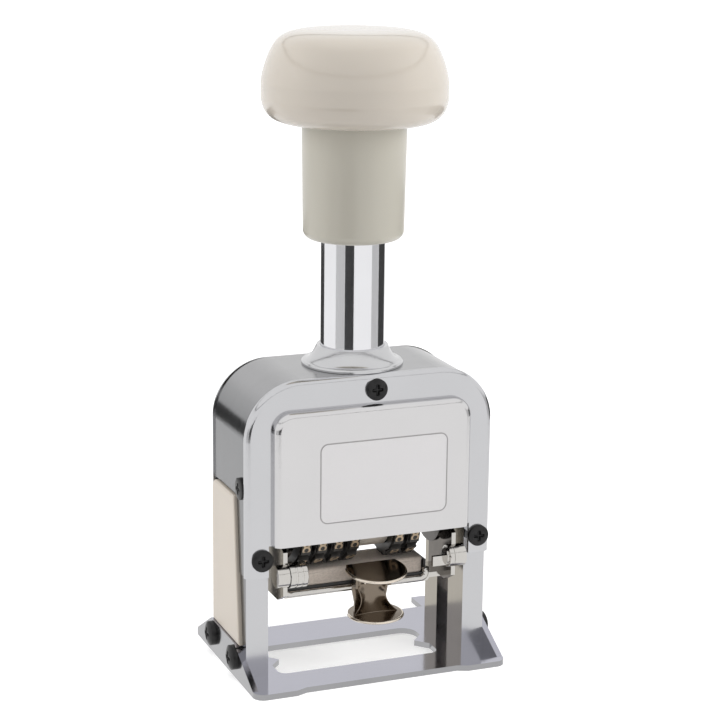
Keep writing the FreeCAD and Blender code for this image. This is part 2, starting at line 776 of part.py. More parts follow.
def make_handle():
    knob_bore = "(grip_radius + running_gap)"
    boss_foot = "(knob_ceiling - knob_boss_length)"
    knob = turned("knob", [
        ("0", "knob_top"), ("knob_radius", "knob_top - knob_crown"), ("knob_radius", "knob_bottom"),
        (knob_bore, "knob_bottom"), (knob_bore, "knob_ceiling"), ("knob_boss", "knob_ceiling"),
        ("knob_boss", boss_foot), ("rod_radius", boss_foot), ("rod_radius", "knob_ceiling - rod_end_cover"),
        ("0", "knob_ceiling - rod_end_cover"),
    ])
    radius = size("knob_radius")
    round_edges(knob, "knob_top_round", circle_at(radius, size("knob_top") - size("knob_crown")))
    round_edges(knob, "knob_foot_round", circle_at(radius, size("knob_bottom")))
    keep(knob)
    grip_bore = "(tube_radius + sliding_gap)"
    grip = turned("grip_sleeve", [
        (grip_bore, "grip_bottom"), ("grip_foot_radius", "grip_bottom"), ("grip_radius", "knob_bottom"),
        ("grip_radius", "grip_top"), (grip_bore, "grip_top"),
    ])
    round_edges(grip, "grip_round", circle_at(size("grip_foot_radius"), size("grip_bottom")))
    keep(grip)
    keep(primitive_cylinder("plunger_rod", "rod_radius",
                            "knob_ceiling - rod_end_cover - bridge_bottom + rod_nut_height",
                            ("0", "0", "bridge_bottom - rod_nut_height")))
    keep(ring_body("thrust_ring", "rod_radius", "tube_bore - sliding_gap", "thrust_ring_bottom",
                   "thrust_ring_bottom + thrust_ring_height"))
    keep(make_hex_nut("rod_nut", "rod_nut_radius", "rod_radius", "bridge_bottom - rod_nut_height", "bridge_bottom"))


def make_hex_nut(label, radius, bore, low, high):
    """A six-sided nut about the handle's axis."""
    body = new_body(label)
    points = [(f"({radius}) * cos({number * FULL_TURN / 6} deg)", f"({radius}) * sin({number * FULL_TURN / 6} deg)")
              for number in range(6)]
    extrude(body, "XY_Plane", low, high, outline(points))
    extrude(body, "XY_Plane", f"({low}) - overrun", f"({high}) + overrun", disc("0", "0", bore), cut=True)
    return body


def coil(radius, wire, turns, low, high):
    """A compression spring about Z: each half turn a pair of arcs, swept as one unbroken tube."""
    halves = int(round(2 * turns))
    rise = (high - low - 2 * wire) / halves
    path = []
    for number in range(halves):
        start_angle = math.pi * number
        points = []
        for share in (0.0, 0.5, 1.0):
            angle = start_angle + math.pi * share
            height = low + wire + rise * (number + share)
            points.append(FreeCAD.Vector(radius * math.cos(angle), radius * math.sin(angle), height))
        path.append(Part.Arc(*points).toShape())
    spine = Part.Wire(path)
    start = spine.Edges[0].valueAt(spine.Edges[0].FirstParameter)
    tangent = spine.Edges[0].tangentAt(spine.Edges[0].FirstParameter)
    section = Part.Wire([Part.Circle(start, tangent, wire).toShape()])
    shell = spine.makePipeShell([section], True, False)
    least = 2 * rise - 2 * wire
    print(f"spring of radius {radius:.2f}: least gap between turns {least:.2f} mm")
    return shell


def make_return_spring():
    """The main spring, between the bush in the tube's foot and the ring on the rod."""
    spring = doc.addObject("Part::Feature", "return_spring")
    spring.Shape = coil(size("spring_radius"), size("spring_wire"), size("spring_turns"),
                        size("tube_foot + bush_length"), size("thrust_ring_bottom"))
    keep(spring)


# Carriage with the wheel shaft.

def make_yoke():
    body = new_body("yoke")
    top = "bridge_top"
    inner = "side_plate_inner"
    outer = "side_plate_outer"
    block(body, "-side_plate_outer", outer, "-bridge_front_reach", "bridge_back_reach", "bridge_bottom", top)
    block(body, "-(side_seat - sliding_gap)", "side_seat - sliding_gap", "-groove_front_reach + sliding_gap",
          "groove_back_reach - sliding_gap", "bridge_bottom", top)
    for side in (1, -1):
        plate = sorted_ends(side, inner, outer)
        block(body, *plate, "print_y - side_plate_front_reach", "print_y + side_plate_back_reach", "axle_z",
              "bridge_bottom + edge_round")
        extrude(body, "YZ_Plane", *plate, disc("print_y", "axle_z", "side_disc"))
        hub = sorted_ends(side, outer, f"{outer} + hub_length")
        extrude(body, "YZ_Plane", *hub, disc("print_y", "axle_z", "hub_radius"))
        comb_y = "print_y + detent_reach * cos(detent_angle * 1 deg)"
        comb_z = "axle_z + detent_reach * sin(detent_angle * 1 deg)"
        extrude(body, "YZ_Plane", *plate, disc(comb_y, comb_z, "detent_ear_radius"))
        extrude(body, "YZ_Plane", *plate,
                radial_strip("shaft_radius + overrun", "detent_reach", "2 * detent_ear_radius", "detent_angle"))
    extrude(body, "XY_Plane", "bridge_bottom - overrun", "bridge_top + overrun", disc("0", "0", "rod_radius"), cut=True)
    reach = "side_plate_outer + hub_length + overrun"
    extrude(body, "YZ_Plane", f"-({reach})", reach, disc("print_y", "axle_z", "shaft_radius"), cut=True)
    return keep(body)


def sorted_ends(side, near_end, far_end):
    """The low and high ends of a stretch on the right or, mirrored, on the left side."""
    if side > 0:
        return near_end, far_end
    return f"-({far_end})", f"-({near_end})"


def make_shaft():
    keep(primitive_cylinder("wheel_shaft", "shaft_radius", "2 * shaft_half", ("-shaft_half", "print_y", "axle_z"), "X"))
    nuts = []
    for side, direction in ((1, "X"), (-1, "-X")):
        place = (f"{side} * (arm_inner + arm_sheet + running_gap * 2)", "print_y", "axle_z")
        nut = primitive_cylinder(f"nut_body_{direction[-1]}{len(nuts)}", "shaft_nut_radius", "shaft_nut_height", place,
                                 direction)
        bore = primitive_cylinder(f"nut_bore_{len(nuts)}", "shaft_radius", "shaft_nut_height", place, direction)
        nuts.append(cut_from(f"shaft_nut_{len(nuts)}", nut, bore))
    keep(grouped("shaft_nuts", nuts))


def wheel_start(number):
    """Where a number wheel begins along X, with the spacer after the first few wheels."""
    gap = " + spacer_length" if number >= WHEELS_BEFORE_SPACER else ""
    return f"(gang_start + {number} * wheel_pitch{gap})"


def make_number_wheel(number):
    """A wheel with ten raised type faces, its ratchet at its right, and a bore for the shaft."""
    body = new_body(f"number_wheel_{number + 1}")
    start = wheel_start(number)
    drum_low = f"({start} + wheel_gap)"
    drum_high = f"({start} + wheel_gap + drum_width)"
    extrude(body, "YZ_Plane", drum_low, drum_high, disc("print_y", "axle_z", "wheel_radius"))
    middle = f"({start} + wheel_gap + drum_width / 2)"
    sketch = place_sketch(body, "XY_Plane", "axle_z")
    rectangle(f"{middle} - digit_width / 2", f"{middle} + digit_width / 2", "print_y - digit_height / 2",
              "print_y + digit_height / 2")(sketch)
    type_face = body.newObject("PartDesign::Pad", "type_face")
    type_face.Profile = sketch
    type_face.Reversed = True
    bind(type_face, "Length", "wheel_radius + digit_rise")
    axis_sketch = place_sketch(body, "XZ_Plane", "-print_y")
    axis_sketch.addGeometry(Part.LineSegment(FreeCAD.Vector(0, size("axle_z"), 0),
                                             FreeCAD.Vector(size("overrun"), size("axle_z"), 0)), True)
    pin_point(axis_sketch, 0, 1, "0", "axle_z")
    pin_point(axis_sketch, 0, 2, "overrun", "axle_z")
    around = body.newObject("PartDesign::PolarPattern", "ten_faces")
    around.Originals = [type_face]
    around.Axis = (axis_sketch, ["Axis0"])
    around.Angle = FULL_TURN
    around.Occurrences = DIGITS
    body.Tip = around
    ratchet_high = f"({drum_high} + ratchet_width)"
    points = []
    for tooth in range(DIGITS):
        turn = tooth * FULL_TURN / DIGITS
        for radius in ("ratchet_radius", "(ratchet_radius - ratchet_depth)"):
            points.append((f"print_y + {radius} * cos({turn} deg)", f"axle_z + {radius} * sin({turn} deg)"))
    points = points[1:] + points[:1]
    extrude(body, "YZ_Plane", drum_high, ratchet_high, outline(points))
    extrude(body, "YZ_Plane", f"{drum_low} - overrun", f"{ratchet_high} + overrun",
            disc("print_y", "axle_z", "shaft_radius + running_gap"), cut=True)
    return keep(body)


def make_spacer():
    body = new_body("spacer_drum")
    start = f"(gang_start + {WHEELS_BEFORE_SPACER} * wheel_pitch + wheel_gap)"
    stop = f"(gang_start + {WHEELS_BEFORE_SPACER} * wheel_pitch + spacer_length - wheel_gap)"
    extrude(body, "YZ_Plane", start, stop, disc("print_y", "axle_z", "spacer_radius"))
    extrude(body, "YZ_Plane", f"{start} - overrun", f"{stop} + overrun", disc("print_y", "axle_z", "shaft_radius"),
            cut=True)
    return keep(body)


def polar(radius, angle, turn=0):
    """A place about the wheel shaft, as Y and Z, from a radius and an angle in degrees."""
    lean = f"({angle} + {turn}) * 1 deg"
    return f"print_y + ({radius}) * cos({lean})", f"axle_z + ({radius}) * sin({lean})"


def radial_strip(inner, outer, width, angle):
    """The four corners of a strip that points away from the wheel shaft."""
    corners = []
    for radius, side in ((inner, 1), (outer, 1), (outer, -1), (inner, -1)):
        lean = f"({angle}) * 1 deg"
        y = f"print_y + ({radius}) * cos({lean}) + {side} * ({width}) / 2 * sin({lean})"
        z = f"axle_z + ({radius}) * sin({lean}) - {side} * ({width}) / 2 * cos({lean})"
        corners.append((y, z))
    return outline(corners)


def ratchet_middle(number):
    return f"({wheel_start(number)} + wheel_gap + drum_width + (ratchet_width + wheel_gap) / 2)"


def make_feed_lever():
    """Two arms on the wheel shaft, joined by a bar that carries one pawl for each wheel."""
    left = ("(gang_start - feed_arm_sheet - 2 * wheel_gap)", "(gang_start - 2 * wheel_gap)")
    right = ("feed_arm_right", "(feed_arm_right + feed_arm_right_sheet)")
    body = new_body("feed_lever")
    for arm in (left, right):
        extrude(body, "YZ_Plane", *arm, disc("print_y", "axle_z", "feed_hub_radius"))
        extrude(body, "YZ_Plane", *arm,
                radial_strip("shaft_radius + overrun", "feed_bar_reach", "feed_arm_width", "feed_angle"))
        extrude(body, "YZ_Plane", *arm, disc(*polar("feed_bar_reach", "feed_angle"), "feed_arm_width / 2"))
        if arm is left:
            extrude(body, "YZ_Plane", left[0], right[1], disc(*polar("feed_bar_reach", "feed_angle"), "feed_bar_radius"))
    for number in range(WHEELS):
        middle = ratchet_middle(number)
        extrude(body, "YZ_Plane", f"{middle} - pawl_width / 2", f"{middle} + pawl_width / 2",
                radial_strip("ratchet_radius + sliding_gap", "feed_bar_reach", "pawl_depth", "feed_angle"))
    extrude(body, "YZ_Plane", f"{left[0]} - overrun", f"{right[1]} + overrun",
            disc("print_y", "axle_z", "shaft_radius + running_gap"), cut=True)
    return keep(body)


def make_detent_comb():
    """A rod across the carriage with a finger over each ratchet."""
    body = new_body("detent_comb")
    place = polar("detent_reach", "detent_angle")
    extrude(body, "YZ_Plane", "-side_plate_inner", "side_plate_inner", disc(*place, "detent_radius"))
    for number in range(WHEELS):
        middle = ratchet_middle(number)
        extrude(body, "YZ_Plane", f"{middle} - detent_width / 2", f"{middle} + detent_width / 2",
                radial_strip("ratchet_radius + sliding_gap", "detent_reach", "detent_width", "detent_angle"))
    return keep(body)


# Ink pad unit.

def make_ink_arm(label, side):
    """A side arm from the wheel shaft down to the pad tray, with its front bracket."""
    body = new_body(label)
    plate = sorted_ends(side, "arm_inner", "arm_outer")
    shape = [
        ("print_y + arm_back_reach", "axle_z"), ("print_y + arm_back_reach", "tray_foot"),
        ("tray_front", "tray_foot"), ("print_y - arm_front_reach", "pad_foot"), ("print_y - arm_front_reach", "axle_z - arm_hub_radius"),
        ("print_y - arm_hub_radius", "axle_z"),
    ]
    extrude(body, "YZ_Plane", *plate, outline(shape))
    extrude(body, "YZ_Plane", *plate, disc("print_y", "axle_z", "arm_hub_radius"))
    extrude(body, "YZ_Plane", *plate, disc("roller_y", "roller_z", "roller_radius"))
    front = ("print_y - arm_front_reach", "print_y - arm_front_reach + bracket_sheet")
    if side > 0:
        block(body, "tray_end - bracket_sheet", "arm_inner", *front, "pad_top - bracket_height / 2",
              "pad_top + bracket_height / 2")
        block(body, "tray_end", "arm_inner", "print_y - arm_hub_radius", "print_y + arm_back_reach", "tray_foot",
              "tray_top")
    else:
        extrude(body, "YZ_Plane", "-arm_inner", "-arm_inner + boss_length", disc("roller_y", "roller_z", "boss_radius"))
    extrude(body, "YZ_Plane", f"{plate[0]} - overrun", f"{plate[1]} + overrun",
            disc("print_y", "axle_z", "shaft_radius + running_gap"), cut=True)
    return keep(body)


def make_rollers():
    """The round guide studs on the outside of both arms."""
    studs = []
    for side, direction in ((1, "X"), (-1, "-X")):
        place = (f"{side} * (arm_inner + arm_sheet)", "roller_y", "roller_z")
        studs.append(primitive_cylinder(f"guide_stud_{len(studs)}", "roller_radius", "roller_length", place, direction))
    keep(grouped("guide_studs", studs))


def make_pad_tray():
    """The bright channel under the pad, its ends turned up."""
    body = new_body("pad_tray")
    low = "-arm_inner"
    high = "tray_end"
    wall = "tray_sheet"
    block(body, low, high, "tray_front", "tray_back", "tray_foot", "tray_top")
    tall = "(tray_top + holder_floor)"
    block(body, low, f"{low} + holder_wall / 2", "tray_front", "tray_back", "tray_foot", tall)
    block(body, f"{high} - holder_wall / 2", high, "tray_front", "tray_back", "tray_foot", tall)
    foot = size("tray_foot")
    round_edges(body, f"{wall} * 0.9", lambda edge: near(edge.CenterOfMass.z, foot) and near(edge.Length, tray_depth()))
    return keep(body)


def tray_depth():
    return size("tray_back - tray_front")


def make_pad_holder():
    """The dark frame that holds the felt: a floor and two end walls."""
    body = new_body("pad_holder")
    low = "(print_x - pad_half_length)"
    high = "(print_x + pad_half_length)"
    block(body, f"{low} - holder_wall / 2", f"{high} + holder_wall / 2", "pad_front", "pad_back", "tray_top", "pad_foot")
    for end in ((f"{low} - holder_wall / 2", low), (high, f"{high} + holder_wall / 2")):
        block(body, *end, "pad_front", "pad_back", "pad_foot", "pad_foot + holder_wall_height")
    return keep(body)


def make_ink_pad():
    low = "(print_x - pad_half_length)"
    high = "(print_x + pad_half_length)"
    keep(primitive_box("ink_pad", (low, "pad_front", "pad_foot"), (high, "pad_back", "pad_top")))


def make_lower_tab():
    """The fixed half of the clip: a round finger tab, a neck up to the tray and two cheeks."""
    body = new_body("lower_finger_tab")
    neck_low = "(tab_shift - cheek_half)"
    neck_high = "(tab_shift + cheek_half)"
    extrude(body, "XY_Plane", "lower_tab_z - tab_sheet", "lower_tab_z",
            disc("lower_tab_x", "lower_tab_y", "lower_tab_radius"))
    waist = "(tray_foot + lower_tab_z) / 2"
    foot = "lower_tab_z - tab_sheet"
    neck = [
        (neck_low, "pad_foot"), (neck_low, "tray_foot"), ("tab_shift - neck_waist", waist),
        ("lower_tab_x - neck_flare", foot), ("lower_tab_x + neck_flare", foot), ("tab_shift + neck_waist", waist),
        (neck_high, "tray_foot"), (neck_high, "pad_foot"),
    ]
    extrude(body, "XZ_Plane", "tray_front - tab_sheet", "tray_front", outline(neck))
    for cheek in ((neck_low, f"{neck_low} + cheek_sheet"), (f"{neck_high} - cheek_sheet", neck_high)):
        block(body, *cheek, "clip_pin_y - 2 * clip_pin_radius", "tray_front", "tray_top",
              "clip_pin_z + 1.5 * clip_pin_radius")
    extrude(body, "YZ_Plane", f"{neck_low} - overrun", f"{neck_high} + overrun",
            disc("clip_pin_y", "clip_pin_z", "clip_pin_radius"), cut=True)
    return keep(body)


def make_upper_tab():
    """The moving half of the clip: a tilted round tab with two ears on the clip pin."""
    ear_outer = "(cheek_half - cheek_sheet - running_gap * 2)"
    round_tab = primitive_cylinder("upper_disc", "upper_tab_radius", "tab_sheet",
                                   ("tab_shift", "upper_tab_y", "upper_tab_z"))
    lean = FreeCAD.Rotation(FreeCAD.Vector(1, 0, 0), size("upper_tab_tilt"))
    round_tab.Placement = FreeCAD.Placement(round_tab.Placement.Base, lean)
    ears = []
    for side in (1, -1):
        ends = sorted_ends(side, f"{ear_outer} - cheek_sheet", ear_outer)
        low = (f"tab_shift + {ends[0]}", "clip_pin_y - 2 * clip_pin_radius", "clip_pin_z - 1.5 * clip_pin_radius")
        high = (f"tab_shift + {ends[1]}", "clip_pin_y + 1.5 * clip_pin_radius", "upper_tab_z + tab_sheet")
        ears.append(primitive_box(f"ear_{len(ears)}", low, high))
    tail = primitive_box("behind_disc", ("tab_shift - 2 * upper_tab_radius", "tray_front - sliding_gap * 2",
                                         "upper_tab_z - upper_tab_radius"),
                         ("tab_shift + 2 * upper_tab_radius", "upper_tab_y + 2 * upper_tab_radius",
                          "upper_tab_z + upper_tab_radius"))
    bore = primitive_cylinder("ear_bore", "clip_pin_radius + running_gap", "2 * cheek_half + 2 * overrun",
                              ("tab_shift - cheek_half - overrun", "clip_pin_y", "clip_pin_z"), "X")
    whole = fused("upper_tab_whole", [round_tab] + ears)
    keep(cut_from("upper_finger_tab", whole, fused("upper_tab_cuts", [tail, bore])))


def make_clip_pin():
    keep(primitive_cylinder("clip_pin", "clip_pin_radius", "2 * cheek_half",
                            ("tab_shift - cheek_half", "clip_pin_y", "clip_pin_z"), "X"))


def make_clip_spring():
    """The small torsion spring wound round the clip pin."""
    spring = doc.addObject("Part::Feature", "clip_spring")
    half = size("clip_spring_half")
    spring.Shape = coil(size("clip_spring_radius"), size("clip_spring_wire"), size("clip_spring_turns"), -half, half)
    lying = FreeCAD.Rotation(FreeCAD.Vector(0, 1, 0), FULL_TURN / 4)
    place = FreeCAD.Vector(size("tab_shift"), size("clip_pin_y"), size("clip_pin_z"))
    spring.Placement = FreeCAD.Placement(place, lying)
    bind(spring, "Placement.Base.y", "clip_pin_y")
    keep(spring)


def build_all():
    make_base_plate()
    make_frame_arch()
    make_cover("front_cover", -1)
    make_cover("back_cover", 1)
    make_side_cover("side_cover_left", -1)
    make_side_cover("side_cover_right", 1)
    make_fasteners()
    make_stem()
    make_handle()
    make_return_spring()
    make_yoke()
    make_shaft()
    for number in range(WHEELS):
        make_number_wheel(number)
    make_spacer()
    make_feed_lever()
    make_detent_comb()
    make_ink_arm("ink_arm_left", -1)
    make_ink_arm("ink_arm_right", 1)
    make_rollers()
    make_pad_tray()
    make_pad_holder()
    make_ink_pad()
    make_lower_tab()
    make_upper_tab()
    make_clip_pin()
    make_clip_spring()


def check_all():
    """Stop on any object that failed, or any node whose shape isn't whole."""
    doc.recompute()
    for thing in doc.Objects:
        bad = [state for state in thing.State if state in ("Invalid", "Error")]
        if bad:
            raise RuntimeError(f"{thing.Label}: {bad}")
    for node in nodes:
        if node.Shape.isNull() or not node.Shape.isValid() or not node.Shape.Solids:
            raise RuntimeError(f"{node.Label}: its shape is not a valid solid")


def write_all():
    os.makedirs("parts", exist_ok=True)
    for node in nodes:
        node.Shape.exportStep(os.path.join("parts", f"{node.Label}.step"))
        print(f"{node.Label}: {len(node.Shape.Solids)} solid, {node.Shape.Volume:.1f} mm3")


build_all()
check_all()
write_all()
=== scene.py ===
"""A numbering machine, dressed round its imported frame."""

import math

import bmesh
import bpy
import numpy as np
from mathutils import Matrix, Vector


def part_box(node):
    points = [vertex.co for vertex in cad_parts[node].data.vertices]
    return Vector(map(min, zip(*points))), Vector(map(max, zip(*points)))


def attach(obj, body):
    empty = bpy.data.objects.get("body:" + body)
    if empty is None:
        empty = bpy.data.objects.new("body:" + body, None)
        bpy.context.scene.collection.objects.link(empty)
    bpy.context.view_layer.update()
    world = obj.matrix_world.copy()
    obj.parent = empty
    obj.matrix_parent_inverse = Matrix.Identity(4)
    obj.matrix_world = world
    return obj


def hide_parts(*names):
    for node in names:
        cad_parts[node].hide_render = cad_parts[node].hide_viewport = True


bl_info = {
    "name": "Numbering Machine",
    "version": (1, 0, 0),
    "blender": (4, 5, 0),
    "location": "View3D > Sidebar > Numbering Machine",
    "description": "Dresses the frame of a hand numbering machine with its surfaces and finishes",
    "category": "Object",
}

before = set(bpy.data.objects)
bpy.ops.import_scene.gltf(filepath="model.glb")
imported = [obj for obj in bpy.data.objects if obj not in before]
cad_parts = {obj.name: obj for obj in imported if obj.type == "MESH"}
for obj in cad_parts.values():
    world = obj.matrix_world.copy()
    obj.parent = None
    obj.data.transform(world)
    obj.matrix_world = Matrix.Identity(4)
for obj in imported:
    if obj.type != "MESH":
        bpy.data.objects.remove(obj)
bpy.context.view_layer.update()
MM = 0.001
STEM_Y = (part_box("guide_tube")[0].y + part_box("guide_tube")[1].y) / 2
FULL_TURN = 2 * math.pi
SHARP_CORNER = math.radians(25)
HOLD_REACH = 0.05 * MM
SEAM_WIDTH = 0.002 * MM


# Sizes and colours that a user may change.

class HandleSizes(bpy.types.PropertyGroup):
    """Width of the mushroom knob, and how finely the turned pieces are cut."""

    knob_radius: bpy.props.FloatProperty(
        name="Knob radius", description="Widest radius of the knob", default=24.85 * MM, subtype="DISTANCE")
    segments: bpy.props.IntProperty(
        name="Segments", description="Facets round each turned piece", default=160, min=24)


class PadSizes(bpy.types.PropertyGroup):
    """Shape of the felt and of the figures."""

    felt_corner: bpy.props.FloatProperty(
        name="Felt corner", description="Rounding of the felt's corners", default=1.3 * MM,
        subtype="DISTANCE")
    figure_height: bpy.props.FloatProperty(
        name="Figure height", description="Height of the raised figures", default=4.5 * MM,
        subtype="DISTANCE")
    figure_width: bpy.props.FloatProperty(
        name="Figure width", description="Width of the raised figures", default=2.3 * MM,
        subtype="DISTANCE")
    figure_rise: bpy.props.FloatProperty(
        name="Figure rise", description="Height of the figures over their faces", default=0.25 * MM,
        subtype="DISTANCE")


class FinishColours(bpy.types.PropertyGroup):
    """Colours of the visible finishes."""

    cream: bpy.props.FloatVectorProperty(
        name="Cream plastic", description="Handle plastic", size=3, subtype="COLOR",
        default=(0.60, 0.545, 0.475))
    cover_cream: bpy.props.FloatVectorProperty(
        name="Side cover plastic", description="Side cover plastic", size=3, subtype="COLOR",
        default=(0.62, 0.555, 0.48))
    plating: bpy.props.FloatVectorProperty(
        name="Frame plating", description="Bright plating of the frame", size=3, subtype="COLOR",
        default=(0.60, 0.60, 0.615))
    felt: bpy.props.FloatVectorProperty(
        name="Felt", description="Felt of the ink pad", size=3, subtype="COLOR",
        default=(0.62, 0.54, 0.47))
    # Painted reflection: the figures' tan stands for the brownish surround that their steel reflects.
    figures: bpy.props.FloatVectorProperty(
        name="Figures", description="Raised figures on the wheels", size=3, subtype="COLOR",
        default=(0.46, 0.36, 0.25))
    label: bpy.props.FloatVectorProperty(
        name="Label place", description="Bare field on the front panel", size=3, subtype="COLOR",
        default=(0.75, 0.735, 0.74))


class StageSettings(bpy.types.PropertyGroup):
    """Camera and lamps."""

    distance: bpy.props.FloatProperty(
        name="Camera distance", description="From the camera to its target", default=0.5688,
        subtype="DISTANCE")
    yaw: bpy.props.FloatProperty(
        name="Yaw", description="Camera's turn to the left of the front", default=math.radians(21.85),
        subtype="ANGLE")
    pitch: bpy.props.FloatProperty(
        name="Pitch", description="Camera's tilt downwards", default=math.radians(14.07), subtype="ANGLE")
    roll: bpy.props.FloatProperty(
        name="Roll", description="Camera's roll", default=math.radians(0.64), subtype="ANGLE")
    lamp_power: bpy.props.FloatProperty(
        name="Side lamps", description="Power of each large side lamp", default=5.5, subtype="POWER")
    surround: bpy.props.FloatProperty(
        name="Surround", description="Strength of the light from all round", default=0.5, min=0.0, max=1.0)


# Surfaces.

def grid_faces(rows, columns, closed):
    """The four-sided faces between neighbours of a grid; a closed one's last column joins its first."""
    index = np.arange(rows * columns).reshape(rows, columns)
    if closed:
        index = np.concatenate([index, index[:, :1]], axis=1)
    return np.stack([index[:-1, :-1], index[:-1, 1:], index[1:, 1:], index[1:, :-1]], axis=-1).reshape(-1, 4)


def surface(name, grids, smooth=True, closed=True):
    """A mesh from one or more grids of points (rows, columns, 3): neighbours in a grid share a face. A closed
    one's last column joins its first, and its seams and poles are sealed."""
    grids = grids if isinstance(grids, list) else [grids]
    points, quads, count = [], [], 0
    for grid in grids:
        quads.append(grid_faces(*grid.shape[:2], closed) + count)
        points.append(grid.reshape(-1, 3))
        count += len(points[-1])
    piece = mesh_object(name, np.concatenate(points), np.concatenate(quads), smooth)
    if closed:
        seal(piece)
    return piece


def seal(piece):
    """Merge the doubled points of seams and poles, then point the faces outwards."""
    shape = bmesh.new()
    shape.from_mesh(piece.data)
    bmesh.ops.remove_doubles(shape, verts=shape.verts, dist=SEAM_WIDTH)
    bmesh.ops.recalc_face_normals(shape, faces=shape.faces)
    shape.to_mesh(piece.data)
    shape.free()


def linked(name, data):
    """A new object in the scene, from its mesh, text, lamp or lens."""
    thing = bpy.data.objects.new(name, data)
    bpy.context.scene.collection.objects.link(thing)
    return thing


def mesh_object(name, points, quads, smooth):
    """A mesh object at the origin from arrays of points and of four-sided faces."""
    mesh = bpy.data.meshes.new(name)
    mesh.vertices.add(len(points))
    mesh.vertices.foreach_set("co", np.ascontiguousarray(points, np.float32).ravel())
    mesh.loops.add(quads.size)
    mesh.loops.foreach_set("vertex_index", np.ascontiguousarray(quads, np.int32).ravel())
    mesh.polygons.add(len(quads))
    mesh.polygons.foreach_set("loop_start", np.arange(0, quads.size, 4, dtype=np.int32))
    mesh.polygons.foreach_set("use_smooth", np.full(len(quads), smooth))
    mesh.update()
    mesh.validate()
    return linked(name, mesh)


def together(x, y, z):
    """One grid of points from its x, y and z, each of which may be the same along a row or a column."""
    return np.stack(np.broadcast_arrays(x, y, z), axis=-1)


def lathe(profile, segments, centre=(0.0, STEM_Y), axis="Z"):
    """Points of a turned surface: each radius and height of the profile goes once round an axis through the
    centre, along Z or X."""
    angle = np.linspace(0, FULL_TURN, segments, endpoint=False)
    radius, height = held(profile).T[:, :, None]
    across = centre[0] + radius * np.cos(angle)
    along = centre[1] + radius * np.sin(angle)
    return together(across, along, height) if axis == "Z" else together(height, across, along)


def held(profile):
    """A profile with a point close to each side of every sharp corner, so that the faces between stay evenly
    shaded. Its ends count as sharp."""
    line = np.asarray(profile, float)
    step = np.diff(line, axis=0)
    length = np.linalg.norm(step, axis=1)[:, None]
    way = step / length
    sharp = np.concatenate([[True], np.sum(way[1:] * way[:-1], axis=1) < math.cos(SHARP_CORNER), [True]])
    reach = np.minimum(HOLD_REACH, length / 3)
    runs = np.stack([line[:-1] + way * reach, line[1:] - way * reach, line[1:]], axis=1).reshape(-1, 2)
    kept = np.stack([sharp[:-1], sharp[1:], np.ones(len(step), bool)], axis=1).ravel()
    return np.concatenate([line[:1], runs[kept]])


def smooth_line(corners, rounds=3):
    """A rounded line through a few corners: every run is cut at a quarter and three quarters, over and
    over, so that the corners melt into curves, while both ends stay."""
    line = np.asarray(corners, float)
    for _ in range(rounds):
        first = 0.75 * line[:-1] + 0.25 * line[1:]
        second = 0.25 * line[:-1] + 0.75 * line[1:]
        inner = np.stack([first, second], axis=1).reshape(-1, 2)
        line = np.concatenate([line[:1], inner[1:-1], line[-1:]])
    return line


def at(x, y, z):
    """A point in millimetres, with the stem's axis at y = 0."""
    return (x * MM, y * MM + STEM_Y, z * MM)


def arc(first, last, count):
    """The cosine and sine of evenly spaced angles, given in degrees: points on a circle of radius 1."""
    angle = np.radians(np.linspace(first, last, count))
    return np.stack([np.cos(angle), np.sin(angle)], axis=1)


def rounded_outline(half_x, half_y, corner, spacing):
    """A rectangle with round corners, counterclockwise: points, and at each point the way out, evenly
    spaced along the edge."""
    points, ways = [], []
    for number, (side_x, side_y) in enumerate(((1, 1), (-1, 1), (-1, -1), (1, -1))):
        way = arc(90 * number, 90 * number + 90, 9)
        points.append(np.array([side_x * (half_x - corner), side_y * (half_y - corner)]) + corner * way)
        ways.append(way)
    points = np.concatenate(points + [points[0][:1]])
    ways = np.concatenate(ways + [ways[0][:1]])
    length = np.concatenate([[0], np.cumsum(np.linalg.norm(np.diff(points, axis=0), axis=1))])
    places = np.linspace(0, length[-1], max(24, int(length[-1] / spacing)), endpoint=False)
    return tuple(np.stack([np.interp(places, length, values[:, axis]) for axis in (0, 1)], axis=1)
                 for values in (points, ways))


def slab(points, ways, rows):
    """A closed sheet over an outline: each row (inset, share, height) draws the outline in along its ways,
    then towards its middle by the share. Returns a grid with the height in z."""
    inset, share, height = np.asarray(rows, float).T[:, :, None]
    x, y = ((points[:, axis] - ways[:, axis] * inset) * share for axis in (0, 1))
    return together(x, y, height)


def turned_to(grid, centre, axes):
    """Carry a grid to its place: axes names the world directions of its x, y and z."""
    directions = {"X": (1, 0, 0), "-X": (-1, 0, 0), "Y": (0, 1, 0), "-Y": (0, -1, 0), "Z": (0, 0, 1)}
    return np.array(centre) + grid @ np.array([directions[axis] for axis in axes], float)


# Finishes.

def fill(node, inputs):
    """Give a node its inputs: each is a socket to link, or a value for the node's own socket."""
    for name, value in inputs.items():
        if isinstance(value, bpy.types.NodeSocket):
            node.id_data.links.new(value, node.inputs[name])
        else:
            node.inputs[name].default_value = value


def add(tree, kind, inputs=(), **settings):
    """A new node of a kind, with its settings and its inputs."""
    node = tree.nodes.new(kind)
    for name, value in settings.items():
        setattr(node, name, value)
    fill(node, dict(inputs))
    return node


def new_material(name):
    """A new material, its shader and the socket of its Object coordinates."""
    material = bpy.data.materials.new(name)
    material.use_nodes = True
    tree = material.node_tree
    return material, tree.nodes["Principled BSDF"], add(tree, "ShaderNodeTexCoord").outputs["Object"]


def stretched(source, scale):
    """Object coordinates scaled along each axis."""
    return add(source.id_data, "ShaderNodeMapping", {"Vector": source, "Scale": scale}).outputs["Vector"]


def noise(source, scale, detail, rough=0.5):
    """Clouds from 0 to 1, finer with the scale."""
    inputs = {"Vector": source, "Scale": scale, "Detail": detail, "Roughness": rough}
    return add(source.id_data, "ShaderNodeTexNoise", inputs).outputs["Fac"]


